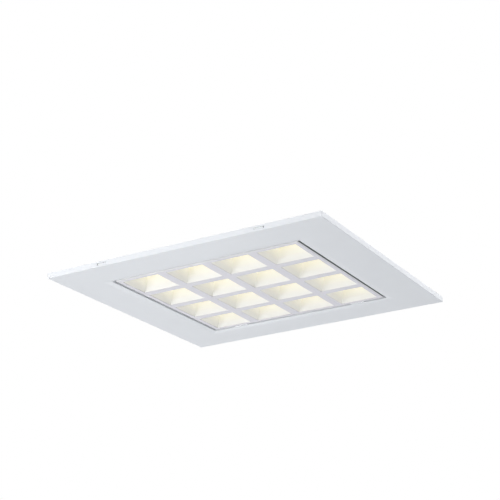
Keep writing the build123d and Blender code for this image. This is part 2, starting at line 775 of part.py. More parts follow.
def hanger_bracket(side_x, side_y):
    """Z-bracket on the pan's top, with a slot for a hanging bolt."""
    outer = pan_half_top - hanger_edge
    riser = outer - hanger_foot
    y0 = side_y * hanger_y - hanger_width / 2
    y1 = side_y * hanger_y + hanger_width / 2
    top = pan_top + hanger_rise + hanger_sheet
    foot = block(riser, outer, y0, y1, pan_top, pan_top + hanger_sheet)
    wall = block(riser, riser + hanger_sheet, y0, y1, pan_top, top)
    tab = block(riser - hanger_tab, riser + hanger_sheet, y0, y1, top - hanger_sheet, top)
    slot = extrude(SlotOverall(hanger_slot_length, 2 * hanger_slot_radius), 4 * hanger_sheet)
    slot = Pos(hanger_centre(), side_y * hanger_y, top - 2 * hanger_sheet) * slot
    bracket = foot + wall + tab - slot
    return bracket if side_x > 0 else bracket.mirror(Plane.YZ)


# ---- write every node -------------------------------------------------------------------
corners = [(sx, sy) for sx in (-1, 1) for sy in (-1, 1)]

save("trim_panel", trim_panel())
save("panel_studs", *panel_studs())
save("stud_nuts", *[stud_nut(x, y) for x, y in stud_places()])
save("housing_pan", housing_pan())

save("louvre_frame", louvre_frame())
one_reflector = reflector()
for row, y in enumerate(cell_places, 1):
    for column, x in enumerate(cell_places, 1):
        save(f"reflector_r{row}c{column}", Pos(x, y, face_top) * one_reflector)
for row, y in enumerate(cell_places, 1):
    save(f"lens_strip_{row}", lens_strip(y))
    save(f"light_board_{row}", light_board(y))
save("light_chips", *light_chips())
save("heat_spreader", heat_spreader())
save("spreader_screws", *[spreader_screw(x, y) for x, y in boss_places()])

save("unit_hinge_brackets", *[unit_hinge_bracket(x) for x in hinge_centres()])
save("unit_hinge_straps", *[unit_hinge_strap(x) for x in hinge_centres()])
save("unit_hinge_pins", *[unit_hinge_pin(x) for x in hinge_centres()])
save("catch_magnets", *[catch_magnet(sx * magnet_spacing / 2) for sx in (-1, 1)])
save("catch_strikes", *[catch_strike(sx * magnet_spacing / 2) for sx in (-1, 1)])

side_names = {(-1, -1): "front_left", (1, -1): "front_right", (-1, 1): "back_left", (1, 1): "back_right"}
for (sx, sy), place in side_names.items():
    save("grid_lug_" + place, grid_lug(sx, sy))
save("lug_guides", *[lug_guide(sx, sy) for sx, sy in corners])

save("gear_tray", gear_tray())
save("gear_cover", gear_cover())
save("cover_hinge_pins", *[cover_hinge_pin(x) for x in cover_hinge_centres()])
save("gear_screws", *[gear_screw(x, y) for x, y in gear_screw_places()])
save("driver_case", driver_case())
save("driver_lid", driver_lid())
save("driver_board", driver_board())
save("driver_transformer", driver_transformer())
save("driver_capacitors", *driver_capacitors())
save("terminal_block", terminal_block())
for number, y in enumerate(terminal_lines(), 1):
    save(f"terminal_button_{number}", terminal_button(y))
save("earth_post", earth_post())
save("entry_grommet", entry_grommet())
save("lead_bush", lead_bush())
save("hanger_brackets", *[hanger_bracket(sx, sy) for sx, sy in corners])
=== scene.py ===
import math

import bmesh
import bpy
from mathutils import Matrix, Vector


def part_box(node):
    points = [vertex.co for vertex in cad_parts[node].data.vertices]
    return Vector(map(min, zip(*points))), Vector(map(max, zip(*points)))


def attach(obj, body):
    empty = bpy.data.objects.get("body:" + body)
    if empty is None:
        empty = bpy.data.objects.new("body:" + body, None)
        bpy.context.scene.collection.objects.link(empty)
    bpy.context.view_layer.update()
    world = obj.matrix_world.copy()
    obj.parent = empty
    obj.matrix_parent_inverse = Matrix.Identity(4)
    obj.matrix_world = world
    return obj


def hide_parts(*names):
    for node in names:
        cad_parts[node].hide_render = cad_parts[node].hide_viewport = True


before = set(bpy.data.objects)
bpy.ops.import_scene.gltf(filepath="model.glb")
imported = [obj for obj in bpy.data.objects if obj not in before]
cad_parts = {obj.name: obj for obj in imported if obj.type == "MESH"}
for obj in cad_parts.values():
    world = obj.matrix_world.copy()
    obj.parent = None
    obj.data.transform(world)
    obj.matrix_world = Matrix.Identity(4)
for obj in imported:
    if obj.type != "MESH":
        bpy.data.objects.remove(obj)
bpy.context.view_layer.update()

# A recessed lay-in ceiling light, seen from below. Metres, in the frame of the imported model:
# z = 0 is the trim panel's underside, the front is -Y, and the ceiling void is above.
MM = 0.001


# ---- Trim panel -------------------------------------------------------------------------
# One folded sheet of 1 mm steel, powder coated in satin white. Its outer rim turns up, a
# shallow bevel leads to the square opening, and a collar stands round that. Two slots in the
# front rim and two in the back rim let the grid lugs out.
panel_sheet = 1.0 * MM
rim_height = 11.2 * MM
rim_corner = 1.6 * MM
rim_bend = 1.5 * MM
fold_radius = 1.2 * MM
bevel_width = 11.5 * MM
bevel_rise = 1.8 * MM
collar_height = 12.0 * MM
unit_gap = 5.0 * MM
slot_low = 3.6 * MM
slot_high = 7.6 * MM
slot_near = 160.3 * MM
slot_far = 181.3 * MM
panel_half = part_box("trim_panel")[1].x
unit_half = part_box("louvre_frame")[1].x
collar_half = unit_half + unit_gap
trim_width = panel_half - collar_half - bevel_width
smooth_angle = math.radians(38)
least_fold = 0.05
fold_steps = 4
corner_sag = 0.3
merge_distance = 0.002 * MM
same_level = 0.01 * MM
drift_size = 60 * MM
drift_gloss = 0.10
grain_gloss = 0.08


class Wire:
    """A value in a material's nodes: arithmetic on it adds Math nodes."""

    def __init__(self, tree, socket=None):
        self.tree = tree
        self.socket = socket

    def node(self, kind, settings, inputs, output=0):
        """Add a shader node with its settings first, then its sockets' values or links."""
        made = self.tree.nodes.new("ShaderNode" + kind)
        for name, value in settings.items():
            if name == "stops":
                ramp = made.color_ramp.elements
                while len(ramp) < len(value):
                    ramp.new(0.5)
                for element, (position, colour) in zip(ramp, value):
                    element.position = position
                    element.color = (*colour, 1)
            else:
                setattr(made, name, value)
        for name, value in inputs.items():
            if isinstance(value, Wire):
                self.tree.links.new(value.socket, made.inputs[name])
            else:
                made.inputs[name].default_value = value
        return Wire(self.tree, made.outputs[output])

    def maths(self, operation, *others):
        """The result of a Math node on this value and any others."""
        return self.node("Math", {"operation": operation}, dict(enumerate((self, *others))))

    def __add__(self, other):
        return self.maths("ADD", other)

    def __sub__(self, other):
        return self.maths("SUBTRACT", other)

    def __rsub__(self, other):
        return self.node("Math", {"operation": "SUBTRACT"}, {0: other, 1: self})

    def __mul__(self, other):
        return self.maths("MULTIPLY", other)

    def __truediv__(self, other):
        return self.maths("DIVIDE", other)

    def __lt__(self, other):
        return self.maths("LESS_THAN", other)

    def __gt__(self, other):
        return self.maths("GREATER_THAN", other)

    __radd__ = __add__
    __rmul__ = __mul__

    def colours(self, first, second):
        """Colour that goes from the first to the second as this value goes from 0 to 1."""
        ends = [end if isinstance(end, Wire) else (*end, 1) for end in (first, second)]
        return self.node("Mix", {"data_type": "RGBA"}, {0: self, 6: ends[0], 7: ends[1]}, 2)

    def between(self, low, high):
        """This value taken from the range low..high to 0..1, and held there."""
        return self.node("MapRange", {}, {"Value": self, "From Min": low, "From Max": high})

    def axes(self):
        """The three parts of a vector."""
        return [self.node("SeparateXYZ", {}, {0: self}, output) for output in range(3)]


class Finish:
    """A material with one Principled shader, its coordinates and a fine relief."""

    def __init__(self, name, **numbers):
        self.material = bpy.data.materials.new(name)
        self.material.use_nodes = True
        self.tree = self.material.node_tree
        self.shader = self.tree.nodes["Principled BSDF"]
        for words, value in numbers.items():
            socket = words.replace("_", " ").title().replace("Ior", "IOR")
            self.shader.inputs[socket].default_value = value
        self.place = Wire(self.tree).node("TexCoord", {}, {}, 3)

    def feed(self, socket, wire):
        self.tree.links.new(wire.socket, self.shader.inputs[socket])

    def noise(self, grain, detail=2.0, stretch=(1, 1, 1)):
        """Noise whose features are about grain metres across, longer along an axis under 1."""
        place = self.place.node("Mapping", {}, {"Vector": self.place, "Scale": stretch})
        return place.node("TexNoise", {}, {"Vector": place, "Scale": 1 / grain, "Detail": detail})

    def relief(self, height, depth, strength=1.0):
        self.feed("Normal", height.node("Bump", {}, {"Height": height, "Distance": depth,
                                                     "Strength": strength}))


def coated(name, light, dark, roughness, grain, depth, **numbers):
    """Paint or moulded plastic: a slow drift of colour and gloss over a fine surface grain."""
    finish = Finish(name, **numbers)
    drift = finish.noise(drift_size, 3.0)
    fine = finish.noise(grain, 3.0)
    finish.feed("Base Color", drift.between(0.3, 0.7).colours(dark, light))
    finish.feed("Roughness", roughness + (drift - 0.5) * drift_gloss + (fine - 0.5) * grain_gloss)
    finish.relief(fine, depth)
    return finish


def shade(bm, angle=smooth_angle):
    """Smooth faces with crisp edges where two faces meet at more than the angle."""
    for face in bm.faces:
        face.smooth = True
    for edge in bm.edges:
        edge.smooth = edge.calc_face_angle(math.pi) < angle


def mesh_object(name, bm):
    """An object at the origin from a bmesh, which it uses up."""
    mesh = bpy.data.meshes.new(name)
    bm.to_mesh(mesh)
    bm.free()
    made = bpy.data.objects.new(name, mesh)
    bpy.context.scene.collection.objects.link(made)
    return made


def piece(name, bm, finish, body, slot, *stands_for, cutters=None):
    """A finished piece of the light: cut, smoothed, painted and carried by its body."""
    made = mesh_object(name, bm)
    if cutters is not None:
        tool = mesh_object(name + "_tool", cutters)
        cut = made.modifiers.new("cut", "BOOLEAN")
        cut.object = tool
        cut.operation = "DIFFERENCE"
        cut.solver = "EXACT"
        cut.use_self = True
        bpy.context.view_layer.update()
        seen = made.evaluated_get(bpy.context.evaluated_depsgraph_get())
        whole = bpy.data.meshes.new_from_object(seen)
        made.modifiers.clear()
        made.data = whole
        bpy.data.objects.remove(tool)
    shaped = bmesh.new()
    shaped.from_mesh(made.data)
    bmesh.ops.remove_doubles(shaped, verts=shaped.verts, dist=merge_distance)
    loose = [edge for edge in shaped.edges if edge.is_wire]
    bmesh.ops.delete(shaped, geom=loose, context="EDGES")
    shade(shaped)
    shaped.to_mesh(made.data)
    shaped.free()
    made.data.materials.clear()
    made.data.materials.append(finish.material)
    made.modifiers.new("even_normals", "WEIGHTED_NORMAL").keep_sharp = True
    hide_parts(*stands_for)
    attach(made, body)
    return made


def round_off(bm, geom, radius, segments, affect="EDGES"):
    """Round edges, or cut off corners where VERTICES are given."""
    bmesh.ops.bevel(bm, geom=list(geom), offset=radius, segments=segments, profile=0.5,
                    affect=affect, material=-1)


def pressed(half_x, half_y, start, steps, corner=0.0, centre=(0, 0), corner_steps=6):
    """Sheet pressed from a rectangle: each step insets the middle, raises it and rounds its fold.

    Returns the bmesh and its middle face. The faces' normals point to the metal's side."""
    bm = bmesh.new()
    place = Matrix.Translation((*centre, start)) @ Matrix.Diagonal((half_x, half_y, 1, 1))
    bmesh.ops.create_grid(bm, x_segments=1, y_segments=1, size=1, matrix=place)
    middle = bm.faces[:][0]
    mitres, folds = [], []
    pulled, height = 0.0, start
    for inset, rise, radius in steps:
        bmesh.ops.inset_region(bm, faces=[middle], thickness=inset, depth=rise,
                               use_even_offset=True, use_boundary=True)
        pulled += inset
        height += rise
        loop = set(middle.edges)
        mitres += [edge for vert in middle.verts for edge in vert.link_edges if edge not in loop]
        folds.append((pulled, height, radius))
    if corner:
        round_off(bm, mitres, corner, corner_steps)

    def on_fold(vert, inset, level):
        """Whether a point lies on the fold at that inset and level, round corners included."""
        beyond_x = abs(vert.co.x - centre[0]) - half_x
        beyond_y = abs(vert.co.y - centre[1]) - half_y
        outside = max(beyond_x, beyond_y) + inset
        on_level = abs(vert.co.z - level) < same_level
        return on_level and -corner_sag * corner - same_level < outside < same_level

    for inset, level, radius in folds:
        if radius:
            bent = [edge for edge in bm.edges if edge.calc_face_angle(0) > least_fold
                    and all(on_fold(vert, inset, level) for vert in edge.verts)]
            round_off(bm, bent, radius, fold_steps)
    flat = [face for face in bm.faces if abs(face.calc_center_median().z - height) < same_level]
    return bm, max(flat, key=lambda face: face.calc_area())


def thicken(bm, thickness):
    """Give a sheet its thickness, on the side that its faces' normals point to."""
    bmesh.ops.solidify(bm, geom=bm.faces, thickness=-thickness)
    bmesh.ops.recalc_face_normals(bm, faces=bm.faces)


def add_block(bm, low, high, edge=0.0, segments=2):
    """Block between two corners, with its edges rounded."""
    size = Vector(high) - Vector(low)
    place = Matrix.Translation((Vector(low) + Vector(high)) / 2) @ Matrix.Diagonal((*size, 1))
    made = bmesh.ops.create_cube(bm, size=1, matrix=place)["verts"]
    if edge:
        round_off(bm, {line for corner in made for line in corner.link_edges}, edge, segments)


panel_white = coated("white_paint", (0.80, 0.82, 0.85), (0.785, 0.805, 0.835), 0.42, 0.9 * MM,
                     0.004 * MM, specular_ior_level=0.3)
panel, opening = pressed(panel_half, panel_half, rim_height,
                         [(0, -rim_height, rim_bend), (trim_width, 0, fold_radius),
                          (bevel_width, bevel_rise, fold_radius), (0, collar_height, 0)],
                         corner=rim_corner, corner_steps=3)
bmesh.ops.delete(panel, geom=[opening], context="FACES_ONLY")
thicken(panel, panel_sheet)
slots = bmesh.new()
for side_x in (-1, 1):
    for side_y in (-1, 1):
        near, far = sorted(side_x * end for end in (slot_near, slot_far))
        inner, outer = sorted(side_y * (panel_half + sheets * panel_sheet) for sheets in (-3, 1))
        add_block(slots, (near, inner, slot_low), (far, outer, slot_high))
piece("trim_sheet", panel, panel_white, "fitting", "white_paint", "trim_panel", cutters=slots)


# ---- Weld studs and nuts ----------------------------------------------------------------
# Eight 4 mm studs are welded to the panel's upper face, so that its underside stays plain.
# Zinc-plated hexagon nuts on them clamp the housing pan's flange.
pan_sheet = 0.8 * MM
stud_radius = 2.0 * MM
stud_height = 7.0 * MM
stud_offset = 120.0 * MM
thread_pitch = 0.7 * MM
thread_depth = 0.25 * MM
nut_radius = 3.9 * MM
nut_height = 3.2 * MM
nut_edge = 0.35 * MM
small_steps = 16
metal_drift = 25 * MM
line_gloss = 0.25
stud_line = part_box("panel_studs")[1].x - stud_radius
stud_places = [(x, y) for x in (-stud_line, stud_line) for y in (-stud_offset, stud_offset)]
stud_places += [(y, x) for x, y in stud_places]


def turned(bm, outline, place, steps=24):
    """Round solid from an outline of (radius, height) points, turned about Z and put in place."""
    older = set(bm.verts)
    points = [bm.verts.new((radius, 0, height)) for radius, height in outline]
    ends = list(zip(points, points[1:]))
    if outline[0][0] > 0:
        ends.append((points[-1], points[0]))
    lines = [bm.edges.new(pair) for pair in ends]
    bmesh.ops.spin(bm, geom=points + lines, cent=(0, 0, 0), axis=(0, 0, 1), angle=2 * math.pi,
                   steps=steps, use_merge=True)
    made = [vert for vert in bm.verts if vert not in older]
    bmesh.ops.remove_doubles(bm, verts=made, dist=merge_distance)
    made = [vert for vert in bm.verts if vert not in older]
    bmesh.ops.transform(bm, matrix=place, verts=made)
    faces = {face for vert in made for face in vert.link_faces}
    bmesh.ops.recalc_face_normals(bm, faces=list(faces))


def plug(radius, low, high):
    """Outline of a plain round bar or hole."""
    return [(0, low), (radius, low), (radius, high), (0, high)]


def at(x, y, z):
    """Place for an upright turned piece."""
    return Matrix.Translation((x, y, z))


def along_x(x, y, z):
    """Place for a turned piece that lies along X, starting at x."""
    return Matrix.Translation((x, y, z)) @ Matrix.Rotation(math.pi / 2, 4, "Y")


def metal(name, light, dark, roughness, grain, depth, stretch=(1, 1, 1), **numbers):
    """Bare or plated metal with a slow drift of colour and a fine, perhaps drawn-out, grain."""
    finish = Finish(name, metallic=1.0, **numbers)
    drift = finish.noise(metal_drift, 3.0)
    lines = finish.noise(grain, 4.0, stretch)
    finish.feed("Base Color", (drift * 0.5 + lines * 0.5).between(0.3, 0.7).colours(dark, light))
    finish.feed("Roughness", roughness + (lines - 0.5) * line_gloss + (drift - 0.5) * drift_gloss)
    finish.relief(lines, depth)
    return finish


def threaded(radius, height, pitch, depth):
    """Outline of a threaded stud that stands on z = 0."""
    turns = int(height / pitch) - 1
    crests = []
    for turn in range(turns):
        base = height - (turns - turn) * pitch
        crests += [(radius - depth, base), (radius, base + pitch / 2)]
    return [(0, 0), (radius, 0), (radius, height - (turns + 0.5) * pitch), *crests,
            (radius - depth, height), (0, height)]


zinc = metal("zinc_plate", (0.60, 0.61, 0.63), (0.47, 0.48, 0.50), 0.42, 1.2 * MM, 0.004 * MM)
studs = bmesh.new()
stud_outline = threaded(stud_radius, stud_height, thread_pitch, thread_depth)
for x, y in stud_places:
    turned(studs, stud_outline, at(x, y, panel_sheet), small_steps)
piece("weld_studs", studs, zinc, "fitting", "zinc", "panel_studs")

nuts = bmesh.new()
nut_bores = bmesh.new()
nut_seat = panel_sheet + pan_sheet
for x, y in stud_places:
    made = bmesh.ops.create_cone(nuts, cap_ends=True, segments=6, radius1=nut_radius,
                                 radius2=nut_radius, depth=nut_height,
                                 matrix=at(x, y, nut_seat + nut_height / 2))["verts"]
    rims = {edge for vert in made for edge in vert.link_edges
            if abs(edge.verts[0].co.z - edge.verts[1].co.z) < nut_edge}
    round_off(nuts, rims, nut_edge, 2)
    turned(nut_bores, plug(stud_radius, -nut_height, 2 * nut_height), at(x, y, nut_seat),
           small_steps)
piece("hex_nuts", nuts, zinc, "fitting", "zinc", "stud_nuts", cutters=nut_bores)


# ---- Housing pan ------------------------------------------------------------------------
# Deep-drawn galvanised steel, open downwards, with a flange that lies on the trim panel and
# two stiffening beads pressed into its top. It is pierced for the gear box and the lamp leads.
pan_flange = 16.0 * MM
pan_taper = 13.0 * MM
pan_corner = 14.0 * MM
pan_fold = 2.5 * MM
bead_height = 2.0 * MM
bead_width = 9.0 * MM
bead_length = 300.0 * MM
bead_offset = 118.0 * MM
bead_edge = 1.6 * MM
stud_hole = 1.05 * stud_radius
round_end = 2.05
pad_corner_steps = 6
pad_edge_steps = 3
spangle = 7.0 * MM
pan_low, pan_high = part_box("housing_pan")
pan_top = pan_high.z - bead_height
pan_ceiling = pan_top - pan_sheet
bush_low, bush_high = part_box("lead_bush")
bush_lip = 2.0 * MM
bush_place = (bush_low + bush_high) / 2
bush_hole = (bush_high.x - bush_low.x) / 2 - bush_lip
gear_screw_low, gear_screw_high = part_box("gear_screws")
head_radius = 2.8 * MM
shank_radius = 1.15 * MM
head_steps = 20


def four_places(low, high, inset):
    """Four places, each set in from a corner of a box."""
    return [(x, y) for x in (low.x + inset, high.x - inset)
            for y in (low.y + inset, high.y - inset)]


def add_pad(bm, low, high, corner, edge):
    """Block with round corners and a rounded top, such as a pressed bead."""
    size = Vector(high) - Vector(low)
    place = Matrix.Translation((Vector(low) + Vector(high)) / 2) @ Matrix.Diagonal((*size, 1))
    older = set(bm.verts)
    made = bmesh.ops.create_cube(bm, size=1, matrix=place)["verts"]
    upright = {line for vert in made for line in vert.link_edges
               if abs(line.verts[0].co.z - line.verts[1].co.z) > size.z / 2}
    round_off(bm, upright, corner, pad_corner_steps)
    top = [vert for vert in bm.verts if vert not in older and vert.co.z > high[2] - same_level]
    rims = {line for vert in top for line in vert.link_edges if line.other_vert(vert) in set(top)}
    round_off(bm, rims, edge, pad_edge_steps)


def add_hole(bm, x, y, low, high, radius, steps=24):
    """Round cutter, upright."""
    turned(bm, plug(radius, low, high), at(x, y, 0), steps)


def spangled(name, light, dark):
    """Galvanised sheet: zinc crystals that differ in shade and gloss."""
    finish = Finish(name, metallic=1.0)
    bent = finish.place.node("VectorMath", {"operation": "MULTIPLY_ADD"}, {
        0: finish.place.node("TexNoise", {}, {"Vector": finish.place, "Scale": 2 / spangle}, 1),
        1: (0.5 * spangle,) * 3, 2: finish.place})
    crystal = bent.node("TexVoronoi", {}, {"Vector": bent, "Scale": 1 / spangle}, 1).axes()[0]
    grain = finish.noise(0.8 * MM, 3.0)
    finish.feed("Base Color", (crystal * 0.5 + grain * 0.4 + 0.05).colours(dark, light))
    finish.feed("Roughness", 0.46 + crystal * 0.16 + (grain - 0.5) * 0.1)
    finish.relief(crystal + grain * 0.4, 0.012 * MM)
    return finish


galvanised = spangled("galvanised_sheet", (0.53, 0.54, 0.555), (0.38, 0.39, 0.40))
pan, _ = pressed(pan_high.x, pan_high.y, pan_low.z,
                 [(pan_flange + pan_sheet, 0, pan_fold),
                  (pan_taper, pan_ceiling - pan_low.z, pan_fold)],
                 corner=pan_corner)
thicken(pan, pan_sheet)
for side in (-1, 1):
    y = side * bead_offset
    add_pad(pan, (-bead_length / 2, y - bead_width / 2, pan_top - pan_sheet / 2),
            (bead_length / 2, y + bead_width / 2, pan_top + bead_height),
            bead_width / round_end, bead_edge)
pan_holes = bmesh.new()
for x, y in stud_places:
    add_hole(pan_holes, x, y, 0, stud_height, stud_hole, small_steps)
through_pan = (pan_ceiling - pan_sheet, pan_top + pan_sheet)
gear_screw_places = four_places(gear_screw_low, gear_screw_high, head_radius)
for x, y in gear_screw_places:
    add_hole(pan_holes, x, y, *through_pan, shank_radius, small_steps)
add_hole(pan_holes, bush_place.x, bush_place.y, *through_pan, bush_hole)
piece("drawn_pan", pan, galvanised, "fitting", "galvanised", "housing_pan", cutters=pan_holes)


# ---- Louvre frame -----------------------------------------------------------------------
# Moulded in matt silver-grey plastic: a flat face with sixteen square mouths, a skirt with a
# rounded lower edge, and thirteen screw bosses that carry the spreader plate. The skirt's right
# side is painted near-black above its lowest 1.2 mm: painted shade for the shadow in the gap there.
face_sheet = 1.2 * MM
skirt_edge = 2.8 * MM
cell_mouth = 82.5 * MM
bar_width = 18.0 * MM
mouth_edge = 0.35 * MM
boss_radius = 3.2 * MM
boss_inset = 4.0 * MM
pilot_depth = 14.0 * MM
bright_edge = (2.2 * MM, 1.6 * MM)
painted_shade_start = 1.2 * MM
painted_shade_full = 1.6 * MM
cut_snap = 0.001 * MM
square_fold = 1.0
frame_low, frame_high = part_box("louvre_frame")
cell_pitch = cell_mouth + bar_width
cell_places = [(i - 1.5) * cell_pitch for i in range(4)]
boss_edge = unit_half - boss_inset
boss_places = [(x, y) for x in (-boss_edge, 0, boss_edge) for y in (-boss_edge, 0, boss_edge)]
boss_places += [(x, y) for x in (-cell_pitch, cell_pitch) for y in (-cell_pitch, cell_pitch)]


def cut_lines(bm, places):
    """Cut the mesh along planes across X and across Y at each place."""
    for place in places:
        for normal in ((1, 0, 0), (0, 1, 0)):
            point = Vector(normal) * place
            bmesh.ops.bisect_plane(bm, geom=bm.verts[:] + bm.edges[:] + bm.faces[:], plane_co=point,
                                   plane_no=normal, dist=cut_snap)


def in_mouth(point, half):
    """Whether a point lies inside one of the sixteen mouths, to that half width."""
    return all(min(abs(axis - place) for place in cell_places) < half for axis in point.xy)


louvre_grey = Finish("louvre_grey", specular_ior_level=0.45)
across, deep, height = louvre_grey.place.axes()
edge_distance = unit_half - across.maths("ABSOLUTE").maths("MAXIMUM", deep.maths("ABSOLUTE"))
edge_share = edge_distance.between(*bright_edge)
# Painted shade: on the skirt's right side the colour turns near-black between 1.2 and 1.6 mm above
# its lowest point, for the shadow in the gap.
right_gap_painted_shade = (across > unit_half - skirt_edge / 4) * height.between(frame_low.z + painted_shade_start,
                                                              frame_low.z + painted_shade_full)
drift = louvre_grey.noise(drift_size, 3.0)
fine = louvre_grey.noise(0.5 * MM, 3.0)
face_colour = drift.between(0.3, 0.7).colours((0.725, 0.715, 0.765), (0.745, 0.735, 0.785))
# The outer edge is white, except where the painted shade of the right gap darkens it.
edge_colour = right_gap_painted_shade.colours((0.90, 0.90, 0.91), (0.16, 0.16, 0.17))
louvre_grey.feed("Base Color", edge_share.colours(face_colour, edge_colour))
louvre_grey.feed("Roughness", 0.5 + (fine - 0.5) * grain_gloss - edge_share * 0.15)
louvre_grey.relief(fine, 0.006 * MM)
louvre, _ = pressed(unit_half, unit_half, frame_high.z,
                    [(0, frame_low.z - frame_high.z, skirt_edge)],
                    corner=1.2 * skirt_edge, corner_steps=4)
cut_lines(louvre, [place + side * cell_mouth / 2 for place in cell_places for side in (-1, 1)])
mouths = [face for face in louvre.faces if in_mouth(face.calc_center_median(), cell_mouth / 2)
          and face.calc_center_median().z < frame_low.z + face_sheet]
bmesh.ops.delete(louvre, geom=mouths, context="FACES")
thicken(louvre, face_sheet)
lips = [edge for edge in louvre.edges if edge.calc_face_angle(0) > square_fold and in_mouth(
        (edge.verts[0].co + edge.verts[1].co) / 2, cell_mouth / 2 + same_level)
        and max(vert.co.z for vert in edge.verts) < frame_low.z + face_sheet / 2]
round_off(louvre, lips, mouth_edge, 2)
top, pilot_floor = frame_high.z, frame_high.z - pilot_depth
boss = [*plug(boss_radius, frame_low.z + face_sheet, top)[:-1], (shank_radius, top),
        (shank_radius, pilot_floor), (0, pilot_floor)]
for x, y in boss_places:
    turned(louvre, boss, at(x, y, 0), head_steps)
piece("louvre", louvre, louvre_grey, "light_unit", "louvre_grey", "louvre_frame")


# ---- Reflector cells --------------------------------------------------------------------
# Sixteen alike funnels, vacuum-formed and coated in semi-gloss white. Their four walls bow
# outwards from the square mouth to the smaller square throat, where the lens sits. The walls
# carry painted light: a warm emission that grows towards the throat, for the lamps' light on them.
cell_throat = 41.0 * MM
wall_bow = 2.0 * MM
wall_steps = 10
reflector_wall = 0.9 * MM
cell_corner = 0.7 * MM
lip_half = 45.05 * MM
lip_thickness = 1.0 * MM
lip_cut = 5.0 * MM
seat_half = 23.0 * MM
cell_low, cell_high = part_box("reflector_r1c1")
mouth_half = cell_mouth / 2
throat_half = cell_throat / 2
cell_depth = cell_high.z - cell_low.z
# Painted light: emission colours of the cell walls, faint at the mouth and warm and bright at the
# throat.
painted_light_mouth = (0.085, 0.078, 0.055)
painted_light_throat = (0.33, 0.27, 0.06)


def wall_line():
    """Half width and height of the cell's wall, from mouth to throat, along its bow."""
    chord = math.hypot(mouth_half - throat_half, cell_depth)
    outward = Vector((cell_depth, mouth_half - throat_half)) / chord
    points = []
    for step in range(wall_steps + 1):
        share = step / wall_steps
        bow = 4 * wall_bow * share * (1 - share)
        points.append((mouth_half + share * (throat_half - mouth_half) + bow * outward.x,
                       share * cell_depth + bow * outward.y))
    return points


def flat_ring(bm, centre, low, high, outer, inner, corner_cut):
    """Level plate with a square hole, its outer corners cut."""
    older = set(bm.verts)
    place = Matrix.Translation((*centre, low)) @ Matrix.Diagonal((outer, outer, 1, 1))
    bmesh.ops.create_grid(bm, x_segments=1, y_segments=1, size=1, matrix=place)
    corners = [vert for vert in bm.verts if vert not in older]
    if corner_cut:
        round_off(bm, corners, corner_cut, 1, "VERTICES")
    for axis, middle in ((Vector((1, 0, 0)), centre[0]), (Vector((0, 1, 0)), centre[1])):
        for side in (-1, 1):
            own = {vert for vert in bm.verts if vert not in older}
            edges = {edge for vert in own for edge in vert.link_edges}
            faces = {face for vert in own for face in vert.link_faces}
            bmesh.ops.bisect_plane(bm, geom=[*own, *edges, *faces], plane_no=axis, dist=cut_snap,
                                   plane_co=axis * (middle + side * inner))
    own = {face for vert in bm.verts if vert not in older for face in vert.link_faces}
    hole = [face for face in own
            if (face.calc_center_median().xy - Vector(centre)).length < inner / 2]
    bmesh.ops.delete(bm, geom=hole, context="FACES")
    own = list({face for vert in bm.verts if vert not in older for face in vert.link_faces})
    bmesh.ops.solidify(bm, geom=own, thickness=low - high)


def reflector_mesh(x, y):
    """One funnel with its lip round the mouth and its seat round the throat."""
    profile = wall_line()
    rises = [(near[0] - far[0], far[1] - near[1], 0) for near, far in zip(profile, profile[1:])]
    bm, throat = pressed(mouth_half, mouth_half, cell_low.z, rises, corner=cell_corner,
                         centre=(x, y), corner_steps=2)
    bmesh.ops.delete(bm, geom=[throat], context="FACES_ONLY")
    thicken(bm, reflector_wall)
    flat_ring(bm, (x, y), cell_low.z, cell_low.z + lip_thickness, lip_half,
              mouth_half + reflector_wall / 2, lip_cut)
    flat_ring(bm, (x, y), cell_high.z - lip_thickness, cell_high.z, seat_half,
              throat_half + reflector_wall / 2, 0)
    return bm


reflector_white = Finish("reflector_white", emission_strength=1.3)
depth_share = reflector_white.place.axes()[2].between(cell_low.z, cell_high.z)
mottle = reflector_white.noise(14 * MM, 3.0)
ripple = reflector_white.noise(0.7 * MM)
reflector_white.feed("Base Color", mottle.colours((0.825, 0.835, 0.855), (0.84, 0.85, 0.87)))
reflector_white.feed("Roughness", 0.42 + (mottle - 0.5) * 0.08 + (ripple - 0.5) * 0.05)
# Painted light: the walls glow more strongly with depth, standing for the lamps' light falling on
# them.
reflector_white.feed("Emission Color", (depth_share * depth_share).colours(painted_light_mouth, painted_light_throat))
reflector_white.relief(ripple, 0.003 * MM)
for row, y in enumerate(cell_places, 1):
    for column, x in enumerate(cell_places, 1):
        cell = f"r{row}c{column}"
        piece("cell_" + cell, reflector_mesh(x, y), reflector_white, "light_unit",
              "reflector_white", "reflector_" + cell)


# ---- Lens strips ------------------------------------------------------------------------
# Four strips of opal acrylic, one for each row of cells. Each has four square pads with a
# shallow dome that hangs into the throat, and a web between them.
lens_drop = 3.5 * MM
dome_radius = 17.0 * MM
lens_web = 14.0 * MM
lens_edge = 0.4 * MM
web_step = 0.25 * MM
dome_steps = 8
fine_steps = 40
glow_inner = 3.0 * MM
glow_outer = 19.0 * MM
lens_low, lens_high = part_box("lens_strip_1")
lens_thickness = lens_high.z - lens_low.z - lens_drop
ball_radius = (dome_radius ** 2 + lens_drop ** 2) / (2 * lens_drop)


def cell_offset(axis):
    """Distance from the nearest cell's middle along one axis, for a pattern in every cell."""
    turns = axis / cell_pitch
    return (turns - turns.maths("FLOOR") - 0.5) * cell_pitch


def cell_radius(finish):
    """Distance from the nearest cell's middle, seen from above or below."""
    x, y = [cell_offset(axis) for axis in finish.place.axes()[:2]]
    return (x * x + y * y).maths("SQRT")


opal = Finish("lens_opal", roughness=0.18, ior=1.49, emission_strength=0.62)
spread = cell_radius(opal).between(glow_inner, glow_outer)
cloud = opal.noise(4 * MM)
opal.feed("Base Color", spread.colours((0.62, 0.60, 0.52), (0.74, 0.72, 0.62)))
glow = spread + (cloud - 0.5) * 0.04
opal.feed("Emission Color", glow.colours((1.0, 0.95, 0.76), (0.66, 0.56, 0.30)))
opal.relief(cloud, 0.01 * MM)


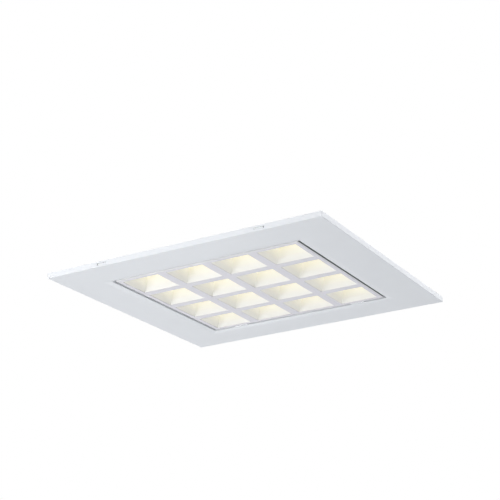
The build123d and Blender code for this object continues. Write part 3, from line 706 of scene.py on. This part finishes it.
def lens_mesh(y):
    """Pads, web and domes of one row."""
    bm = bmesh.new()
    pad_low = lens_high.z - lens_thickness
    pad_middle = pad_low + lens_thickness / 2
    reach = cell_places[-1]
    arc = math.asin(dome_radius / ball_radius)
    bulge = [(ball_radius * math.sin(arc * step / dome_steps),
              pad_low - lens_drop + ball_radius * (1 - math.cos(arc * step / dome_steps)))
             for step in range(dome_steps + 1)]
    add_block(bm, (-reach, y - lens_web / 2, pad_low + web_step),
              (reach, y + lens_web / 2, lens_high.z - web_step), lens_edge)
    for x in cell_places:
        add_block(bm, (x - seat_half, y - seat_half, pad_low),
                  (x + seat_half, y + seat_half, lens_high.z), lens_edge)
        turned(bm, [*bulge, (dome_radius, pad_middle), (0, pad_middle)], at(x, y, 0), fine_steps)
    return bm


for row, y in enumerate(cell_places, 1):
    piece(f"opal_strip_{row}", lens_mesh(y), opal, "light_unit", "lens_opal", f"lens_strip_{row}")


# ---- Light boards and chips -------------------------------------------------------------
# Aluminium-core boards with white solder mask, one for each row, and on each a ceramic
# chip package over every lens: a square white body with a round yellow phosphor field.
phosphor_radius = 4.6 * MM
track_offset = 11.0 * MM
track_width = 1.2 * MM
board_white = Finish("board_white", roughness=0.4)
track = cell_offset(board_white.place.axes()[1]).maths("ABSOLUTE")
on_track = (track - track_offset).maths("ABSOLUTE") < track_width
fleck = board_white.noise(0.6 * MM)
board_white.feed("Base Color", on_track.colours((0.86, 0.86, 0.83), (0.80, 0.78, 0.70)))
board_white.feed("Roughness", 0.38 + (fleck - 0.5) * 0.1)
board_white.relief(on_track + fleck * 0.1, 0.03 * MM)


def repaint(node, finish):
    """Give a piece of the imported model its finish."""
    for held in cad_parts[node].material_slots:
        held.material = finish.material


for row in range(1, 5):
    repaint(f"light_board_{row}", board_white)

chip_finish = Finish("chip_phosphor", emission_strength=2.5)
phosphor = cell_radius(chip_finish) < phosphor_radius
grit = chip_finish.noise(0.3 * MM)
chip_finish.feed("Base Color", phosphor.colours((0.85, 0.85, 0.82), (0.92, 0.76, 0.22)))
chip_finish.feed("Roughness", 0.35 + phosphor * 0.25 + grit * 0.1)
chip_finish.feed("Emission Color", phosphor.colours((0, 0, 0), (1.0, 0.85, 0.55)))
chip_finish.relief(grit + phosphor, 0.02 * MM)
repaint("light_chips", chip_finish)


# ---- Spreader plate and its screws ------------------------------------------------------
# Rolled aluminium plate, 1.5 mm, that closes the light unit's top and takes up the chips'
# heat. Thirteen pan-head screws with a cross recess hold it to the louvre frame's bosses.
plate_edge = 0.25 * MM
head_height = 1.6 * MM
recess_width = 0.75 * MM
recess_reach = 1.75 * MM
recess_depth = 0.9 * MM
screw_hole = 1.35 * MM
screw_length = 10.0 * MM
screw_turn = 37
head_curve = ((1, 0), (1, 0.45), (0.93, 0.72), (0.75, 0.92), (0.45, 1), (0, 1))
plate_low, plate_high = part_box("heat_spreader")
aluminium = metal("mill_aluminium", (0.60, 0.61, 0.62), (0.46, 0.47, 0.48), 0.42, 1.0 * MM,
                  0.006 * MM, stretch=(0.02, 1, 1))
plate = bmesh.new()
add_block(plate, plate_low, plate_high, plate_edge)
plate_holes = bmesh.new()
for x, y in boss_places:
    add_hole(plate_holes, x, y, plate_low.z - plate_edge, plate_high.z + plate_edge, screw_hole,
             small_steps)
piece("spreader_plate", plate, aluminium, "light_unit", "aluminium_plate", "heat_spreader",
      cutters=plate_holes)


def screws(places, seat, length):
    """Pan-head screws that stand on a seat, and cutters for their cross recesses."""
    heads, recesses = bmesh.new(), bmesh.new()
    outline = [(0, -length), (shank_radius, -length + shank_radius), (shank_radius, 0)]
    outline += [(head_radius * out, head_height * up) for out, up in head_curve]
    for number, (x, y) in enumerate(places):
        turned(heads, outline, at(x, y, seat), head_steps)
        turn = Matrix.Rotation(math.radians(screw_turn * number), 4, "Z")
        for quarter in (0, math.pi / 2):
            size = Matrix.Diagonal((2 * recess_reach, recess_width, 2 * recess_depth, 1))
            bmesh.ops.create_cube(recesses, size=1, matrix=at(x, y, seat + head_height) @ turn
                                  @ Matrix.Rotation(quarter, 4, "Z") @ size)
    return heads, recesses


heads, recesses = screws(boss_places, plate_high.z, screw_length)
piece("plate_screws", heads, zinc, "light_unit", "zinc", "spreader_screws", cutters=recesses)


# ---- Swing-down hinges ------------------------------------------------------------------
# Two hinges in the gap at the back. A zinc-plated bracket hooked over the panel's collar has
# two ears, a strap on the frame's skirt has the knuckle between them, and a steel pin runs
# through all three.
pin_radius = 0.9 * MM
knuckle_wall = 1.0 * MM
knuckle_half = 7.0 * MM
ear_length = 8.0 * MM
ear_gap = 0.4 * MM
bracket_sheet = 1.1 * MM
hinge_edge = 0.2 * MM
pin_clearance = 0.1 * MM
tuck = 0.12 * MM
strap_sheet = 0.5 * MM
knuckle_radius = pin_radius + knuckle_wall
bracket_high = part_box("unit_hinge_brackets")[1]
strap_low, strap_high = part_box("unit_hinge_straps")
pins_low, pins_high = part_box("unit_hinge_pins")
hinge_y = (pins_low.y + pins_high.y) / 2
hinge_z = (pins_low.z + pins_high.z) / 2
pin_half = knuckle_half + ear_gap + ear_length
hinge_places = (pins_low.x + pin_half, pins_high.x - pin_half)
strap_half = (strap_high.x - strap_low.x) / 2 - hinge_places[1]
bracket_inner = collar_half - bracket_sheet


def add_tube(bm, x, y, z, length, outer, inner, edge=hinge_edge):
    """Tube along X with rounded rims, such as a knuckle."""
    turned(bm, [(inner, 0), (outer - edge, 0), (outer, edge), (outer, length - edge),
                (outer - edge, length), (inner, length)], along_x(x, y, z))


def pin_outline(radius, length):
    """Outline of a pin or washer with rounded rims."""
    return [(0, 0), (radius - hinge_edge, 0), (radius, hinge_edge), (radius, length - hinge_edge),
            (radius - hinge_edge, length), (0, length)]


brackets, straps, pins = bmesh.new(), bmesh.new(), bmesh.new()
for x in hinge_places:
    for start in (x - pin_half, x + knuckle_half + ear_gap):
        add_tube(brackets, start, hinge_y, hinge_z, ear_length, knuckle_radius, pin_radius)
        add_block(brackets, (start, hinge_y + pin_radius, hinge_z + pin_radius / 2),
                  (start + ear_length, collar_half, hinge_z + knuckle_radius), hinge_edge)
        add_block(brackets, (start + tuck, bracket_inner + tuck, hinge_z + pin_radius),
                  (start + ear_length - tuck, collar_half - tuck, hinge_z + 3 * knuckle_radius),
                  hinge_edge)
    add_block(brackets,
              (x - pin_half + tuck, bracket_inner + tuck / 2, hinge_z + 2.2 * knuckle_radius),
              (x + pin_half - tuck, collar_half - tuck / 2, bracket_high.z - tuck), hinge_edge)
    add_block(brackets, (x - pin_half, bracket_inner, bracket_high.z - bracket_sheet),
              (x + pin_half, bracket_high.y, bracket_high.z), hinge_edge)
    add_tube(straps, x - knuckle_half, hinge_y, hinge_z, 2 * knuckle_half, knuckle_radius,
             pin_radius + pin_clearance)
    add_block(straps, (x - knuckle_half, unit_half, hinge_z + pin_radius / 2),
              (x + knuckle_half, hinge_y - pin_radius, hinge_z + knuckle_radius), hinge_edge)
    add_block(straps, (x - strap_half, unit_half, hinge_z + knuckle_radius / 2),
              (x + strap_half, unit_half + strap_sheet, strap_high.z), hinge_edge)
    turned(pins, pin_outline(pin_radius, 2 * pin_half), along_x(x - pin_half, hinge_y, hinge_z),
           small_steps)
bright_steel = metal("bright_steel", (0.68, 0.68, 0.70), (0.54, 0.54, 0.56), 0.30, 0.8 * MM,
                     0.004 * MM, stretch=(0.05, 1, 1))
piece("hinge_brackets", brackets, zinc, "fitting", "zinc", "unit_hinge_brackets")
piece("hinge_straps", straps, zinc, "light_unit", "zinc", "unit_hinge_straps")
piece("hinge_pins", pins, bright_steel, "fitting", "bright_steel", "unit_hinge_pins")


# ---- Magnetic catches -------------------------------------------------------------------
# Two ferrite blocks glued under the pan's ceiling near the front, and two bright steel strike
# plates riveted to the spreader plate, which they pull up.
magnet_edge = 0.7 * MM
strike_edge = 0.25 * MM
strike_corner = 3.0 * MM
magnet_low, magnet_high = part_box("catch_magnets")
strike_low, strike_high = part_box("catch_strikes")
magnet_half = 17.0 * MM
strike_half = 20.0 * MM
ferrite = coated("ferrite", (0.11, 0.11, 0.12), (0.06, 0.06, 0.065), 0.55, 0.5 * MM, 0.03 * MM)
magnets, strikes = bmesh.new(), bmesh.new()
for left, right in ((magnet_low.x, magnet_low.x + 2 * magnet_half),
                    (magnet_high.x - 2 * magnet_half, magnet_high.x)):
    add_block(magnets, (left, magnet_low.y, magnet_low.z), (right, magnet_high.y, magnet_high.z),
              magnet_edge, 3)
for left, right in ((strike_low.x, strike_low.x + 2 * strike_half),
                    (strike_high.x - 2 * strike_half, strike_high.x)):
    add_pad(strikes, (left, strike_low.y, strike_low.z), (right, strike_high.y, strike_high.z),
            strike_corner, strike_edge)
piece("magnet_blocks", magnets, ferrite, "fitting", "magnet_dark", "catch_magnets")
piece("strike_plates", strikes, bright_steel, "light_unit", "bright_steel", "catch_strikes")


# ---- Grid lugs and their guides ---------------------------------------------------------
# Four flat nylon lugs slide out through the rim's slots and lock over the ceiling grid. Each
# has a ribbed thumb tab and runs in a grey nylon guide on the panel's upper face.
lug_edge = 0.5 * MM
guide_edge = 0.35 * MM
lug_thickness = 3.2 * MM
tab_thickness = 2.0 * MM
grip_height = 0.35 * MM
grip_pitch = 1.5 * MM
grip_inset = 1.2 * MM
grip_edge = 0.15 * MM
grips_each_tab = 3
guide_wall = 2.2 * MM
guide_running = 0.3 * MM
guide_reach = 20.0 * MM
guide_low, guide_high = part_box("lug_guides")
nylon = coated("nylon_white", (0.84, 0.85, 0.86), (0.80, 0.81, 0.82), 0.45, 0.6 * MM, 0.008 * MM,
               subsurface_weight=0.08)
nylon_grey = coated("nylon_grey", (0.20, 0.205, 0.215), (0.17, 0.175, 0.185), 0.5, 0.6 * MM,
                    0.008 * MM)


def lug_mesh(low, high, side_y):
    """Blade with a ribbed thumb tab at its inner end."""
    bm = bmesh.new()
    inner, outer = (low.y, high.y) if side_y > 0 else (high.y, low.y)
    blade = sorted((inner + side_y * tab_thickness / 2, outer))
    add_block(bm, (low.x, blade[0], low.z), (high.x, blade[1], low.z + lug_thickness), lug_edge)
    tab = sorted((inner, inner + side_y * tab_thickness))
    add_block(bm, (low.x + tuck, tab[0], low.z + tuck), (high.x - tuck, tab[1], high.z), lug_edge)
    for number in range(grips_each_tab):
        z = high.z - grip_inset - number * grip_pitch
        face = inner + side_y * tab_thickness
        grip = sorted((face - side_y * grip_height, face + side_y * grip_height))
        add_block(bm, (low.x + lug_edge, grip[0], z - grip_height),
                  (high.x - lug_edge, grip[1], z + grip_height), grip_edge)
    return bm


guides, channels = bmesh.new(), bmesh.new()
for place, side_y in (("front_left", -1), ("front_right", -1), ("back_left", 1), ("back_right", 1)):
    low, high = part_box("grid_lug_" + place)
    piece("lug_" + place + "_nylon", lug_mesh(low, high, side_y), nylon, "lug_" + place,
          "lug_nylon", "grid_lug_" + place)
    far = guide_high.y if side_y > 0 else guide_low.y
    span = sorted((far, far - side_y * guide_reach))
    side = guide_running + guide_wall
    add_block(guides, (low.x - side, span[0], guide_low.z), (high.x + side, span[1], guide_high.z),
              guide_edge)
    add_block(channels, (low.x - guide_running, span[0] - guide_wall, low.z - guide_running),
              (high.x + guide_running, span[1] + guide_wall, low.z + lug_thickness + guide_running))
piece("nylon_guides", guides, nylon_grey, "fitting", "lug_nylon_grey", "lug_guides",
      cutters=channels)


# ---- Gear box ---------------------------------------------------------------------------
# Folded galvanised tray screwed to the pan's top, with a hole for the supply cable's grommet
# on the left, round knock-outs on the right, and a hinged lid with vent slots.
gear_sheet = 0.8 * MM
gear_bend = 1.3 * MM
lid_air = 0.3 * MM
lid_skirt = 7.0 * MM
lid_rib_inset = 9.0 * MM
lid_rib_drop = 0.7 * MM
lid_pin_radius = 1.0 * MM
lid_knuckle_half = 8.0 * MM
lid_ear_length = 9.0 * MM
vent_length = 26.0 * MM
vent_width = 2.6 * MM
vent_pitch = 8.0 * MM
vents_each_end = 5
knockout_radius = 10.0 * MM
knockout_groove = 0.5 * MM
knockout_depth = 0.4 * gear_sheet
knockout_offset = 26.0 * MM
knockout_rise = 2.0 * MM
vent_inset = 32.0 * MM
vent_cut = 4.0 * MM
cut_edge = 0.1 * MM
rib_fold = 0.6 * MM
lid_ear_drop = 6.0 * MM
lid_ear_top = 1.1 * MM
tray_low, tray_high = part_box("gear_tray")
cover_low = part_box("gear_cover")[0]
lid_pins_low, lid_pins_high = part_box("cover_hinge_pins")
entry_low, entry_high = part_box("entry_grommet")
gear_half_x = tray_high.x
gear_top = cover_low.z + lid_skirt - lid_air
gear_floor = tray_low.z + gear_sheet
gear_front = tray_low.y
gear_back = lid_pins_low.y - lid_pin_radius - lid_air
lid_axis_y = (lid_pins_low.y + lid_pins_high.y) / 2
lid_axis_z = (lid_pins_low.z + lid_pins_high.z) / 2
lid_pin_half = lid_knuckle_half + ear_gap + lid_ear_length
lid_hinges = (lid_pins_low.x + lid_pin_half, lid_pins_high.x - lid_pin_half)
gear_y = (gear_front + gear_back) / 2
entry_z = (entry_low.z + entry_high.z) / 2
grommet_lip = 2.5 * MM
entry_radius = (entry_high.z - entry_low.z) / 2 - grommet_lip

tray, _ = pressed(gear_half_x, (gear_back - gear_front) / 2, gear_top,
                  [(0, tray_low.z - gear_top, gear_bend)], corner=1.5 * gear_bend,
                  centre=(0, gear_y), corner_steps=4)
thicken(tray, gear_sheet)
tray_cuts = bmesh.new()
through_tray = (tray_low.z - gear_sheet, gear_floor + gear_sheet)
for x, y in gear_screw_places:
    add_hole(tray_cuts, x, y, *through_tray, screw_hole, small_steps)
add_hole(tray_cuts, bush_place.x, bush_place.y, *through_tray, bush_hole)
turned(tray_cuts, plug(entry_radius, 0, 4 * gear_sheet),
       along_x(-gear_half_x - 2 * gear_sheet, gear_y, entry_z), fine_steps)
groove_inner = knockout_radius - knockout_groove
groove = [(groove_inner, 0), (knockout_radius, 0), (knockout_radius, gear_sheet),
          (groove_inner, gear_sheet)]
for offset in (-knockout_offset, knockout_offset):
    turned(tray_cuts, groove, along_x(gear_half_x - knockout_depth, gear_y + offset,
                                      entry_z + knockout_rise), fine_steps)
piece("gear_tray_folded", tray, galvanised, "fitting", "galvanised", "gear_tray", cutters=tray_cuts)

ears = bmesh.new()
for x in lid_hinges:
    for start in (x - lid_pin_half, x + lid_knuckle_half + ear_gap):
        add_tube(ears, start, lid_axis_y, lid_axis_z, lid_ear_length, lid_pin_radius + knuckle_wall,
                 lid_pin_radius)
        add_block(ears, (start, gear_back - gear_sheet / 2, lid_axis_z - lid_ear_drop),
                  (start + lid_ear_length, lid_axis_y, lid_axis_z - lid_ear_top), hinge_edge)
piece("gear_tray_ears", ears, galvanised, "fitting", "galvanised", "gear_tray")

lid_half_x = gear_half_x + lid_air
lid_front = gear_front - lid_air
lid, _ = pressed(lid_half_x, (gear_back - lid_front) / 2, cover_low.z,
                 [(0, lid_skirt, gear_bend), (lid_rib_inset, 0, rib_fold),
                  (2 * lid_rib_drop, -lid_rib_drop, rib_fold)],
                 corner=gear_bend, centre=(0, (gear_back + lid_front) / 2), corner_steps=3)
back_skirt = [face for face in lid.faces if face.calc_center_median().y > gear_back - gear_bend
              and face.calc_center_median().z < cover_low.z + lid_skirt - gear_bend * 0.9]
bmesh.ops.delete(lid, geom=back_skirt, context="FACES")
thicken(lid, gear_sheet)
vents = bmesh.new()
for side in (-1, 1):
    for row in range(vents_each_end):
        x = side * (gear_half_x - vent_inset) - vent_length / 2
        y = gear_y + (row - (vents_each_end - 1) / 2) * vent_pitch
        add_pad(vents, (x, y - vent_width / 2, gear_top - vent_cut),
                (x + vent_length, y + vent_width / 2, gear_top + vent_cut),
                vent_width / round_end, cut_edge)
piece("gear_lid_folded", lid, galvanised, "gear_lid", "galvanised", "gear_cover", cutters=vents)

lid_knuckles = bmesh.new()
for x in lid_hinges:
    add_tube(lid_knuckles, x - lid_knuckle_half, lid_axis_y, lid_axis_z, 2 * lid_knuckle_half,
             lid_pin_radius + knuckle_wall, lid_pin_radius + pin_clearance)
    add_block(lid_knuckles, (x - lid_knuckle_half, gear_back - 2 * gear_sheet, gear_top + lid_air),
              (x + lid_knuckle_half, lid_axis_y - lid_pin_radius, gear_top + lid_air + gear_sheet),
              hinge_edge)
piece("gear_lid_knuckles", lid_knuckles, galvanised, "gear_lid", "galvanised", "gear_cover")

lid_pins = bmesh.new()
for x in lid_hinges:
    turned(lid_pins, pin_outline(lid_pin_radius, 2 * lid_pin_half),
           along_x(x - lid_pin_half, lid_axis_y, lid_axis_z), small_steps)
piece("lid_pins", lid_pins, bright_steel, "fitting", "bright_steel", "cover_hinge_pins")

heads, recesses = screws(gear_screw_places, gear_floor, gear_floor - pan_ceiling)
piece("tray_screws", heads, zinc, "fitting", "zinc", "gear_screws", cutters=recesses)


# ---- Driver -----------------------------------------------------------------------------
# The lamp driver: a white-coated steel tray with a flat lid held at its four corners. Inside
# stand its green board, a wound transformer and three capacitors.
driver_bend = 1.5 * MM
driver_sheet = 1.0 * MM
lid_plate_edge = 0.25 * MM
case_low, case_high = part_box("driver_case")
driver_lid_low, driver_lid_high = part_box("driver_lid")
post_radius = 2.0 * MM
post_inset = 6.0 * MM
dimple_radius = 2.2 * MM
dimple_depth = 0.3 * MM
track_pitch = 9.0 * MM
tape_width = 0.35 * MM
can_rim = 0.3 * MM
board_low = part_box("driver_board")[0]
post_places = four_places(case_low, case_high, post_inset)
driver_white = coated("driver_white", (0.84, 0.84, 0.83), (0.81, 0.81, 0.80), 0.40, 0.8 * MM,
                      0.006 * MM)
case_middle = (case_low + case_high) / 2
case, _ = pressed((case_high.x - case_low.x) / 2, (case_high.y - case_low.y) / 2, case_high.z,
                  [(0, case_low.z - case_high.z, driver_bend)], corner=driver_bend,
                  centre=(case_middle.x, case_middle.y), corner_steps=3)
thicken(case, driver_sheet)
for x, y in post_places:
    add_hole(case, x, y, case_low.z + driver_sheet / 2, board_low.z, post_radius, small_steps)
piece("driver_tray", case, driver_white, "fitting", "driver_white", "driver_case")

lid_plate, lid_recess = bmesh.new(), bmesh.new()
add_block(lid_plate, driver_lid_low, driver_lid_high, lid_plate_edge)
for x, y in post_places:
    add_hole(lid_recess, x, y, driver_lid_high.z - dimple_depth, driver_lid_high.z + MM,
             dimple_radius, head_steps)
piece("driver_lid_plate", lid_plate, driver_white, "fitting", "driver_white", "driver_lid",
      cutters=lid_recess)

solder_green = Finish("solder_green", roughness=0.35)
tracks = solder_green.place.node("TexBrick", {"offset": 0.3}, {
    "Vector": solder_green.place, "Scale": 1 / track_pitch, "Mortar Size": 0.06}, 1)
solder_green.feed("Base Color", tracks.colours((0.03, 0.20, 0.09), (0.10, 0.34, 0.16)))
solder_green.feed("Roughness", 0.3 + solder_green.noise(1 * MM) * 0.2)
solder_green.relief(tracks, 0.03 * MM)

winding = Finish("transformer_tape")
tape = (winding.place.axes()[2] / tape_width).maths("SINE").between(-1, 1)
winding.feed("Base Color", tape.colours((0.62, 0.50, 0.10), (0.74, 0.62, 0.16)))
winding.feed("Roughness", 0.35 + winding.noise(2 * MM) * 0.2)
winding.relief(tape, 0.05 * MM)

sleeve = Finish("capacitor_sleeve")
can_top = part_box("driver_capacitors")[1].z
bare = sleeve.place.axes()[2] > can_top - can_rim
sleeve.feed("Base Color", bare.colours((0.02, 0.03, 0.07), (0.75, 0.75, 0.76)))
sleeve.feed("Metallic", bare)
sleeve.feed("Roughness", 0.28 + sleeve.noise(2 * MM) * 0.15)
repaint("driver_board", solder_green)
repaint("driver_transformer", winding)
repaint("driver_capacitors", sleeve)


# ---- Supply terminal --------------------------------------------------------------------
# Moulded push-in block with three poles. Each has a funnelled wire port on the left and an
# orange release button, notched for a screwdriver, in a pocket on top.
block_edge = 0.9 * MM
port_radius = 1.6 * MM
port_funnel = 2.3 * MM
port_depth = 9.0 * MM
port_height = 5.0 * MM
funnel_depth = 1.2 * MM
button_stroke = 2.5 * MM
notch_half = 0.5 * MM
notch_depth = 0.8 * MM
button_air = 0.3 * MM
button_edge = 0.5 * MM
divider_width = 0.8 * MM
divider_depth = 1.0 * MM
block_low, block_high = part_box("terminal_block")
moulded = coated("terminal_moulding", (0.86, 0.85, 0.81), (0.82, 0.81, 0.77), 0.42, 0.6 * MM,
                 0.008 * MM)
orange = coated("button_orange", (0.86, 0.36, 0.06), (0.78, 0.30, 0.04), 0.38, 0.6 * MM,
                0.006 * MM)
block, block_cuts = bmesh.new(), bmesh.new()
add_block(block, block_low, block_high, block_edge, 3)
button_boxes = [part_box(f"terminal_button_{number}") for number in (1, 2, 3)]
for number, (low, high) in enumerate(button_boxes, 1):
    y = (low.y + high.y) / 2
    turned(block_cuts, [(0, -MM), (port_funnel, -MM), (port_funnel, 0), (port_radius, funnel_depth),
                        (port_radius, port_depth), (0, port_depth)],
           along_x(block_low.x, y, block_low.z + port_height))
    add_block(block_cuts,
              (low.x - button_air, low.y - button_air, low.z - button_stroke - button_air),
              (high.x + button_air, high.y + button_air, block_high.z + MM))
    button, notch = bmesh.new(), bmesh.new()
    add_block(button, low, high, button_edge, 3)
    add_block(notch, (low.x + MM, y - notch_half, high.z - notch_depth),
              (high.x - MM, y + notch_half, high.z + MM))
    piece(f"release_button_{number}", button, orange, f"button_{number}", "button_orange",
          f"terminal_button_{number}", cutters=notch)
for near, far in zip(button_boxes, button_boxes[1:]):
    y = (near[1].y + far[0].y) / 2
    add_block(block_cuts, (block_low.x - MM, y - divider_width / 2, block_high.z - divider_depth),
              (block_high.x + MM, y + divider_width / 2, block_high.z + MM))
piece("terminal_moulding", block, moulded, "fitting", "terminal_white", "terminal_block",
      cutters=block_cuts)


# ---- Earth post, grommet and lead bush --------------------------------------------------
# A threaded brass post with its washer, and two black rubber parts that line the sheet
# metal's edges: the supply cable's grommet and the bush for the lamp leads.
post_low, post_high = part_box("earth_post")
washer_radius = (post_high.x - post_low.x) / 2
earth_radius = 2.5 * MM
washer_base = 1.0 * MM
washer_thickness = 1.2 * MM
earth_pitch = 0.8 * MM
earth_thread = 0.3 * MM
grommet_lip_length = 2.0 * MM
bush_lip_length = 1.5 * MM
lip_round = 0.7 * MM
grommet_bore = 6.5 * MM
bush_bore = 5.0 * MM
post_middle = (post_low + post_high) / 2
brass = metal("turned_brass", (0.83, 0.66, 0.33), (0.70, 0.53, 0.25), 0.28, 0.7 * MM, 0.004 * MM)
rubber = coated("black_rubber", (0.035, 0.035, 0.037), (0.022, 0.022, 0.024), 0.62, 0.5 * MM,
                0.012 * MM)
post = bmesh.new()
turned(post, threaded(earth_radius, post_high.z - post_low.z, earth_pitch, earth_thread),
       at(post_middle.x, post_middle.y, post_low.z))
turned(post, pin_outline(washer_radius, washer_thickness),
       at(post_middle.x, post_middle.y, post_low.z + washer_base), 32)
piece("earth_stud", post, brass, "fitting", "brass", "earth_post")


def collared(length, bore, waist, lip, lip_length):
    """Outline of a grommet: a bore, and a waist between two rounded lips."""
    outer = waist + lip
    half = [(bore, lip_round), (bore + lip_round, 0), (outer - lip_round, 0), (outer, lip_round),
            (outer, lip_length - lip_round / 2), (outer - lip_round / 2, lip_length),
            (waist, lip_length)]
    return half + [(radius, length - height) for radius, height in reversed(half)]


grommet = bmesh.new()
turned(grommet, collared(entry_high.x - entry_low.x, grommet_bore, entry_radius, grommet_lip,
                         grommet_lip_length), along_x(entry_low.x, gear_y, entry_z), 48)
piece("cable_grommet", grommet, rubber, "fitting", "rubber_black", "entry_grommet")
bush = bmesh.new()
turned(bush, collared(bush_high.z - bush_low.z, bush_bore, bush_hole, bush_lip,
                      bush_lip_length), at(bush_place.x, bush_place.y, bush_low.z), fine_steps)
piece("lamp_lead_bush", bush, rubber, "fitting", "rubber_black", "lead_bush")


# ---- Hanger brackets --------------------------------------------------------------------
# Four folded steel Z-brackets spot-welded to the pan's top. A slot in each raised tab takes a
# hanging bolt from the ceiling slab.
hanger_sheet = 1.6 * MM
hanger_width = 30.0 * MM
hanger_foot = 18.0 * MM
hanger_fold = 2.6 * MM
hanger_corner = 4.0 * MM
slot_half_length = 10.0 * MM
slot_radius = 5.5 * MM
slot_cut = 3.0 * MM
hanger_steps = 5
hanger_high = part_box("hanger_brackets")[1]
hanger_y = hanger_high.y - hanger_width / 2
riser_x = hanger_high.x - hanger_foot
tab_end = 151.0 * MM
slot_x = (tab_end + riser_x) / 2


def hanger_mesh(bm, side_x, side_y):
    """Z-bracket drawn as a line of its underside, pulled out sideways, folded and thickened."""
    near = hanger_high.z - hanger_sheet
    line = [(hanger_high.x, pan_top), (riser_x, pan_top), (riser_x, near), (tab_end, near)]
    part = bmesh.new()
    y = side_y * hanger_y - hanger_width / 2
    points = [part.verts.new((x, y, z)) for x, z in line]
    lines = [part.edges.new(pair) for pair in zip(points, points[1:])]
    pulled = bmesh.ops.extrude_edge_only(part, edges=lines)["geom"]
    bmesh.ops.translate(part, vec=(0, hanger_width, 0),
                        verts=[item for item in pulled if isinstance(item, bmesh.types.BMVert)])
    ends = [vert for vert in part.verts if len(vert.link_faces) == 1]
    round_off(part, ends, hanger_corner, hanger_steps, "VERTICES")
    folds = [edge for edge in part.edges if edge.calc_face_angle(0) > square_fold]
    round_off(part, folds, hanger_fold, hanger_steps)
    bmesh.ops.recalc_face_normals(part, faces=part.faces)
    if sum(face.normal.z * face.calc_area() for face in part.faces) < 0:
        bmesh.ops.reverse_faces(part, faces=part.faces)
    thicken(part, hanger_sheet)
    if side_x < 0:
        bmesh.ops.scale(part, vec=(-1, 1, 1), verts=part.verts)
        bmesh.ops.reverse_faces(part, faces=part.faces)
    scratch = bpy.data.meshes.new("hanger")
    part.to_mesh(scratch)
    part.free()
    bm.from_mesh(scratch)
    bpy.data.meshes.remove(scratch)


hangers, hanger_slots = bmesh.new(), bmesh.new()
for side_x in (-1, 1):
    for side_y in (-1, 1):
        hanger_mesh(hangers, side_x, side_y)
        x, y = side_x * slot_x, side_y * hanger_y
        add_pad(hanger_slots, (x - slot_half_length, y - slot_radius, hanger_high.z - slot_cut),
                (x + slot_half_length, y + slot_radius, hanger_high.z + slot_cut),
                slot_radius * 0.995, cut_edge)
piece("z_hangers", hangers, zinc, "fitting", "zinc", "hanger_brackets", cutters=hanger_slots)


# ---- Stage ------------------------------------------------------------------------------
# A plain pale floor three metres below the ceiling, a white room, and seven soft lamps. The
# near one shades the panel from corner to corner, the one behind shows up the far bevel.
floor_z = -3.2
floor_half = 60.0
room_light = (0.92, 0.95, 1.0)
room_strength = 0.16
floor_glow = (0.60, 0.605, 0.61)


def in_view(wire):
    """Whether a ray comes from the camera, from a glossy surface or through glass."""
    camera_ray, glossy, through = [wire.node("LightPath", {}, {}, output) for output in (0, 3, 6)]
    return camera_ray.maths("MAXIMUM", glossy).maths("MAXIMUM", through)


ground = bmesh.new()
bmesh.ops.create_grid(ground, x_segments=1, y_segments=1, size=floor_half,
                      matrix=Matrix.Translation((0, 0, floor_z)))
floor = mesh_object("floor", ground)
pale = Finish("floor_pale", roughness=0.9, specular_ior_level=0.0, emission_strength=1.0)
pale.feed("Base Color", pale.noise(2.0).colours((0.80, 0.81, 0.82), (0.84, 0.85, 0.86)))
pale.feed("Emission Color", in_view(pale.place).colours((0, 0, 0), floor_glow))
floor.data.materials.append(pale.material)

world = bpy.data.worlds.new("room")
bpy.context.scene.world = world
world.use_nodes = True
air = Wire(world.node_tree)
shown = in_view(air)
backdrop = world.node_tree.nodes["Background"]
for socket, wire in (("Color", shown.colours(room_light, (1, 1, 1))),
                     ("Strength", shown * (1 - room_strength) + room_strength)):
    world.node_tree.links.new(wire.socket, backdrop.inputs[socket])


def soft_lamp(name, place, width, watts):
    """Square soft box that points at the light fitting."""
    light = bpy.data.lights.new(name, "AREA")
    light.size = width
    light.energy = watts
    lamp = bpy.data.objects.new(name, light)
    lamp.location = place
    lamp.rotation_euler = (-Vector(place)).to_track_quat("-Z", "Y").to_euler()
    lamp.visible_camera = False
    bpy.context.scene.collection.objects.link(lamp)


soft_lamp("front_box", (-0.4, -3.5, -0.9), 2.2, 26)
soft_lamp("upper_front_box", (-1.0, -3.4, 1.2), 3.4, 80)
soft_lamp("near_box", (-0.9, -1.2, -0.6), 0.5, 5.5)
soft_lamp("low_right_box", (2.2, -0.4, -1.7), 0.8, 8)
soft_lamp("right_box", (3.2, 0.9, 1.2), 3.6, 112)
soft_lamp("back_box", (-1.1, 1.55, -1.95), 0.6, 21)
soft_lamp("top_box", (-0.6, 1.2, 3.0), 3.6, 50)


# ---- Camera -----------------------------------------------------------------------------
# Below the ceiling, in front of the panel and to its right, looking up at its middle through
# a long lens.
camera_place = Vector((1.23347, -2.36514, -0.88531))
camera_look = Vector((-0.43555, 0.83226, 0.34300))
camera_roll = math.radians(-2.26)
lens_length = 99.27
film_width = 36.0
lens_data = bpy.data.cameras.new("camera")
lens_data.lens = lens_length
lens_data.sensor_width = film_width
camera = bpy.data.objects.new("camera", lens_data)
turn = camera_look.to_track_quat("-Z", "Y").to_matrix() @ Matrix.Rotation(camera_roll, 3, "Z")
camera.matrix_world = Matrix.Translation(camera_place) @ turn.to_4x4()
bpy.context.scene.collection.objects.link(camera)
bpy.context.scene.camera = camera

bpy.context.scene.view_settings.view_transform = "Standard"
